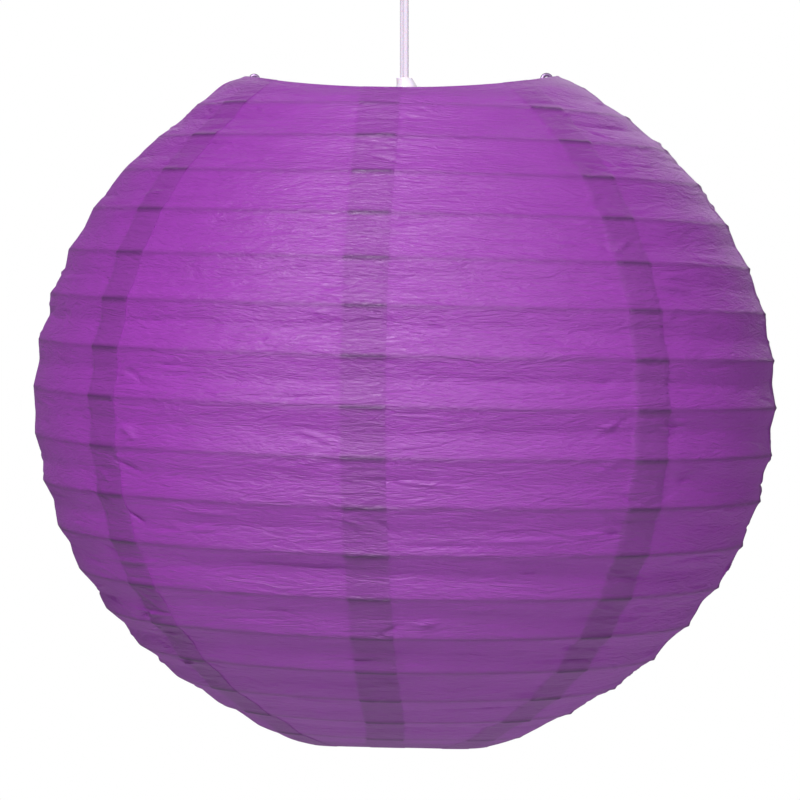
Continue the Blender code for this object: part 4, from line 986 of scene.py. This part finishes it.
def gore(number):
    """One gore: the globe between two seams with half a lap more on each side, less the folds, the creases
    and the crinkles. Returns its outside points and, for the material, four numbers at each."""
    width = 2 * np.pi / GORES
    seam = FIRST_SEAM + width * number
    share = np.linspace(0.0, 1.0, COLUMNS + 1)[None, :]
    plain = seam + width * share
    first = np.round(((rim_angle(TOP_RIM, plain) - RIB_AT_ZERO) / RIB_PITCH - plain / (2 * np.pi)).mean()
                     * TURN_ROWS)
    last = np.round(((rim_angle(LOW_RIM, plain) - RIB_AT_ZERO) / RIB_PITCH - plain / (2 * np.pi)).mean()
                    * TURN_ROWS)
    level = (np.arange(first, last + 1) / TURN_ROWS)[:, None]
    even = (level - level[0]) / (level[-1] - level[0])
    rough_sine = np.sin(np.pi * (0.157 + 0.760 * even))
    lap = LAP_WIDTH_AT_RIM + (LAP_WIDTH - LAP_WIDTH_AT_RIM) * rough_sine
    lap_angle = lap / (GLOBE_RADIUS * rough_sine)
    azimuth = seam - lap_angle / 2 + (width + lap_angle) * share
    top = rim_angle(TOP_RIM, azimuth)
    foot = rim_angle(LOW_RIM, azimuth)
    turn_top = (top - RIB_AT_ZERO) / RIB_PITCH - azimuth / (2 * np.pi)
    turn_foot = (foot - RIB_AT_ZERO) / RIB_PITCH - azimuth / (2 * np.pi)
    near_top = np.clip(1.0 - (level - level[0]), 0.0, 1.0) ** 2
    near_foot = np.clip(1.0 - (level[-1] - level), 0.0, 1.0) ** 2
    turn = level + near_top * (turn_top - level[0]) + near_foot * (turn_foot - level[-1])
    theta = RIB_AT_ZERO + RIB_PITCH * (turn + azimuth / (2 * np.pi))
    radius = GLOBE_RADIUS * np.sin(theta)
    down = (theta - 0.5 * np.pi) * GLOBE_RADIUS
    x = radius * np.cos(azimuth)
    y = radius * np.sin(azimuth)

    part = turn - np.floor(turn)
    spiral = np.floor(turn) + azimuth / (2 * np.pi)
    crease = 0.47 + 0.07 * crease_noise(spiral)
    depth = FOLD_DEPTH * (0.74 + 0.26 * depth_noise(spiral))
    depth = depth * (0.50 + 0.50 * ramp(theta - SHALLOW_ABOVE, np.radians(25.0)))
    depth = depth * (1.0 - 0.45 * ramp(theta - SHALLOW_BELOW, np.radians(35.0)))
    edge = ramp(theta - top, RIB_PITCH) * ramp(foot - theta, RIB_PITCH)
    from_left = (azimuth - seam) * radius
    from_right = (azimuth - seam - width) * radius
    on_lap = np.clip((lap / 2 - np.minimum(np.abs(from_left), np.abs(from_right))) / 0.0006 + 0.5, 0.0, 1.0)
    over = ramp(from_right + lap / 2, 0.0008)
    rib_near = np.exp(-((part - np.round(part)) * RIB_PITCH * GLOBE_RADIUS / 0.0010) ** 2) * edge
    free = np.clip(4 * part * (1 - part), 0.0, 1.0) * edge
    inset = depth * edge * (1.0 - 0.25 * on_lap) * fold_shape(part, crease)
    inset = inset + free * (DRAPE * drape(x, y, down) + CRINKLE * crinkle(x, y, down))
    inset = inset - crumple(number, theta, azimuth) * (0.30 + 0.70 * free) * edge
    inset = inset - KNOB * rib_near * on_lap - LAP_RISE * over

    ends = ((TOP_RIM, 0, 1), (LOW_RIM, -1, -1))
    body = globe(theta, azimuth, inset)
    for rim, row, step in ends:
        _, ring, proud = round_the_rim(rim, body[row], body[row + step], azimuth[row])
        clear = ((body[row] - ring) * proud).sum(axis=-1) - (RIM_WIRE / 2 + SHEET + WIRE_ROOM)
        from_rim = np.abs(theta - theta[row]) * GLOBE_RADIUS / RIM_REACH
        inset = inset + clear * np.exp(-from_rim ** 2)
    body = globe(theta, azimuth, inset)
    sheets = [body]
    for rim, row, step in ends:
        wrap, ring, _ = round_the_rim(rim, body[row], body[row + step], azimuth[row])
        wrap = wrap + LAP_RISE * over[row][:, None] * (wrap - ring) / np.linalg.norm(wrap - ring, axis=-1,
                                                                                     keepdims=True)
        under = slice(1, TUCK_ROWS + 1) if step > 0 else slice(-2, -TUCK_ROWS - 2, -1)
        deep = 2 * (RIM_WIRE / 2 + SHEET + WIRE_ROOM)
        tuck = tucked(theta[under], azimuth[under], inset[under], deep)
        end = np.concatenate([wrap, tuck])
        sheets = [end[::-1]] + sheets if step > 0 else sheets + [end]
    points = np.concatenate(sheets)
    pad = WRAP_ROWS + TUCK_ROWS
    marks = {name: np.pad(value + 0 * theta, ((pad, pad), (0, 0)), mode="edge")
             for name, value in dict(lap=on_lap, rib=rib_near).items()}
    height = np.arange(-pad, len(theta) + pad)[:, None] / TURN_ROWS * RIB_PITCH * GLOBE_RADIUS
    marks["down"] = height + 0 * points[..., 0]
    marks["across"] = np.pad((azimuth - seam - width / 2) * radius, ((pad, pad), (0, 0)), mode="edge")
    rise = np.exp(-((points[..., 2] - ring_top) / 0.003) ** 2) * np.exp(-(points[..., 1] / 0.004) ** 2)
    points[..., 2] += HOOK_BUMP * rise * (points[..., 0] < 0.0)
    return points, marks


def sheet_solid(name, outside, marks, thickness):
    """A closed sheet: the outside grid, the same grid moved in along its normals, which are the cross product
    of the rows' and the columns' directions, and four strips of faces round the edge."""
    down = np.gradient(outside, axis=0)
    across = np.gradient(outside, axis=1)
    normal = np.cross(down, across)
    normal /= np.linalg.norm(normal, axis=-1, keepdims=True)
    inside = outside - normal * thickness
    rows, columns = outside.shape[:2]
    index = np.arange(rows * columns).reshape(rows, columns)
    corners = np.stack([index[:-1, :-1], index[1:, :-1], index[1:, 1:], index[:-1, 1:]], axis=-1)
    corners = corners.reshape(-1, 4)
    rim = np.concatenate([index[0, :-1], index[:-1, -1], index[-1, :0:-1], index[:0:-1, 0]])
    following = np.roll(rim, -1)
    shift = rows * columns
    strip = np.stack([rim, following, following + shift, rim + shift], axis=-1)
    faces = np.concatenate([corners, corners[:, ::-1] + shift, strip])
    mesh = bpy.data.meshes.new(name)
    mesh.from_pydata(np.concatenate([outside.reshape(-1, 3), inside.reshape(-1, 3)]), [], faces.tolist())
    mesh.shade_smooth()
    mesh.set_sharp_from_angle(angle=np.radians(60.0))
    for mark, value in marks.items():
        held = mesh.attributes.new(mark, "FLOAT", "POINT")
        held.data.foreach_set("value", np.tile(value.reshape(-1), 2).astype(np.float32))
    obj = bpy.data.objects.new(name, mesh)
    bpy.context.collection.objects.link(obj)
    return obj


PAPER_COLOUR = (0.285, 0.032, 0.37)
# The second colour is painted shade. Along the rib it is mixed in as the wire's shadow through the paper, and
# on the laps as less light through two layers. Where the rib crosses a seam it also marks real glue soaked
# into the paper.
PAPER_SHADE_AND_GLUE = (0.075, 0.006, 0.11)
PAPER_THROUGH = (0.80, 0.20, 0.90)
paper_look = bpy.data.materials.new("purple_paper")
paper_look.use_nodes = True
tree = paper_look.node_tree
shader = tree.nodes["Principled BSDF"]
output = tree.nodes["Material Output"]
mark = {name: node(tree, "Attribute", {"attribute_name": name}) for name in ("across", "down", "lap", "rib")}
place = node(tree, "CombineXYZ", links={"X": mark["across"].outputs["Fac"], "Y": mark["down"].outputs["Fac"]})
stretched = node(tree, "Mapping", {"vector_type": "POINT"}, {"Scale": (0.22, 1.0, 1.0)},
                 {"Vector": place.outputs[0]})
fibre = node(tree, "TexNoise", values={"Scale": 900.0, "Detail": 5.0, "Roughness": 0.65, "Distortion": 0.6},
             links={"Vector": stretched.outputs[0]})
level_creases = node(tree, "TexNoise", values={"Scale": 170.0, "Detail": 4.0, "Roughness": 0.6,
                                               "Distortion": 0.8}, links={"Vector": stretched.outputs[0]})
ridge = node(tree, "Math", {"operation": "PINGPONG"}, {1: 0.5}, {0: level_creases.outputs["Fac"]})
mottle = node(tree, "TexNoise", values={"Scale": 70.0, "Detail": 3.0}, links={"Vector": place.outputs[0]})
tone = node(tree, "Mix", {"data_type": "RGBA"},
            {"A": (*[c * 0.90 for c in PAPER_COLOUR], 1.0), "B": (*[c * 1.10 for c in PAPER_COLOUR], 1.0)},
            {"Factor": mottle.outputs["Fac"]})
# Where the rib crosses a lap, glue soaks the paper: a real dark dash.
dash = node(tree, "Math", {"operation": "MULTIPLY"}, links={0: mark["lap"].outputs["Fac"],
                                                            1: mark["rib"].outputs["Fac"]})
# The laps are a little darker as painted shade of their double layer.
lap_shade_share = node(tree, "Math", {"operation": "MULTIPLY"}, {1: 0.06}, {0: mark["lap"].outputs["Fac"]})
glue_and_lap_shade_share = node(tree, "Math", {"operation": "MULTIPLY_ADD"}, {1: 0.50}, {0: dash.outputs[0],
                                                                          2: lap_shade_share.outputs[0]})
# Along the rib the paper is darker as painted shadow of the wire behind it; the glue dashes and the painted
# lap shade are added in.
shade_and_glue_share = node(tree, "Math", {"operation": "MULTIPLY_ADD", "use_clamp": True}, {1: 0.22},
                 {0: mark["rib"].outputs["Fac"], 2: glue_and_lap_shade_share.outputs[0]})
tone_with_shade_and_glue = node(tree, "Mix", {"data_type": "RGBA"}, {"B": (*PAPER_SHADE_AND_GLUE, 1.0)},
            {"Factor": shade_and_glue_share.outputs[0], "A": tone.outputs["Result"]})
heights = node(tree, "Math", {"operation": "MULTIPLY_ADD"}, {1: 0.35},
               {0: fibre.outputs["Fac"], 2: ridge.outputs[0]})
bump = node(tree, "Bump", values={"Strength": 1.0, "Distance": 0.0017}, links={"Height": heights.outputs[0]})
tree.links.new(tone_with_shade_and_glue.outputs["Result"], shader.inputs["Base Color"])
tree.links.new(bump.outputs["Normal"], shader.inputs["Normal"])
shader.inputs["Roughness"].default_value = 0.48
shader.inputs["Specular IOR Level"].default_value = 1.0
shader.inputs["Sheen Weight"].default_value = 0.04
shader.inputs["Sheen Roughness"].default_value = 0.5
through = node(tree, "BsdfTranslucent", links={"Normal": bump.outputs["Normal"]})
# The light through the paper darkens by the same share: painted wire shadow and painted lap shade, with the
# real glue dashes.
through_tone = node(tree, "Mix", {"data_type": "RGBA"}, {"A": (*PAPER_THROUGH, 1.0), "B": (*PAPER_SHADE_AND_GLUE, 1.0)},
                    {"Factor": shade_and_glue_share.outputs[0]})
tree.links.new(through_tone.outputs["Result"], through.inputs["Color"])
blend = node(tree, "MixShader", values={0: 0.30}, links={1: shader.outputs[0], 2: through.outputs[0]})
tree.links.new(blend.outputs[0], output.inputs["Surface"])

for number in range(GORES):
    outside, marks = gore(number)
    leaf = dress(sheet_solid(f"paper_{number + 1}", outside, marks, SHEET), paper_look, "shade",
                 "purple_paper", f"paper_gore_{number + 1}")
    folds(leaf)
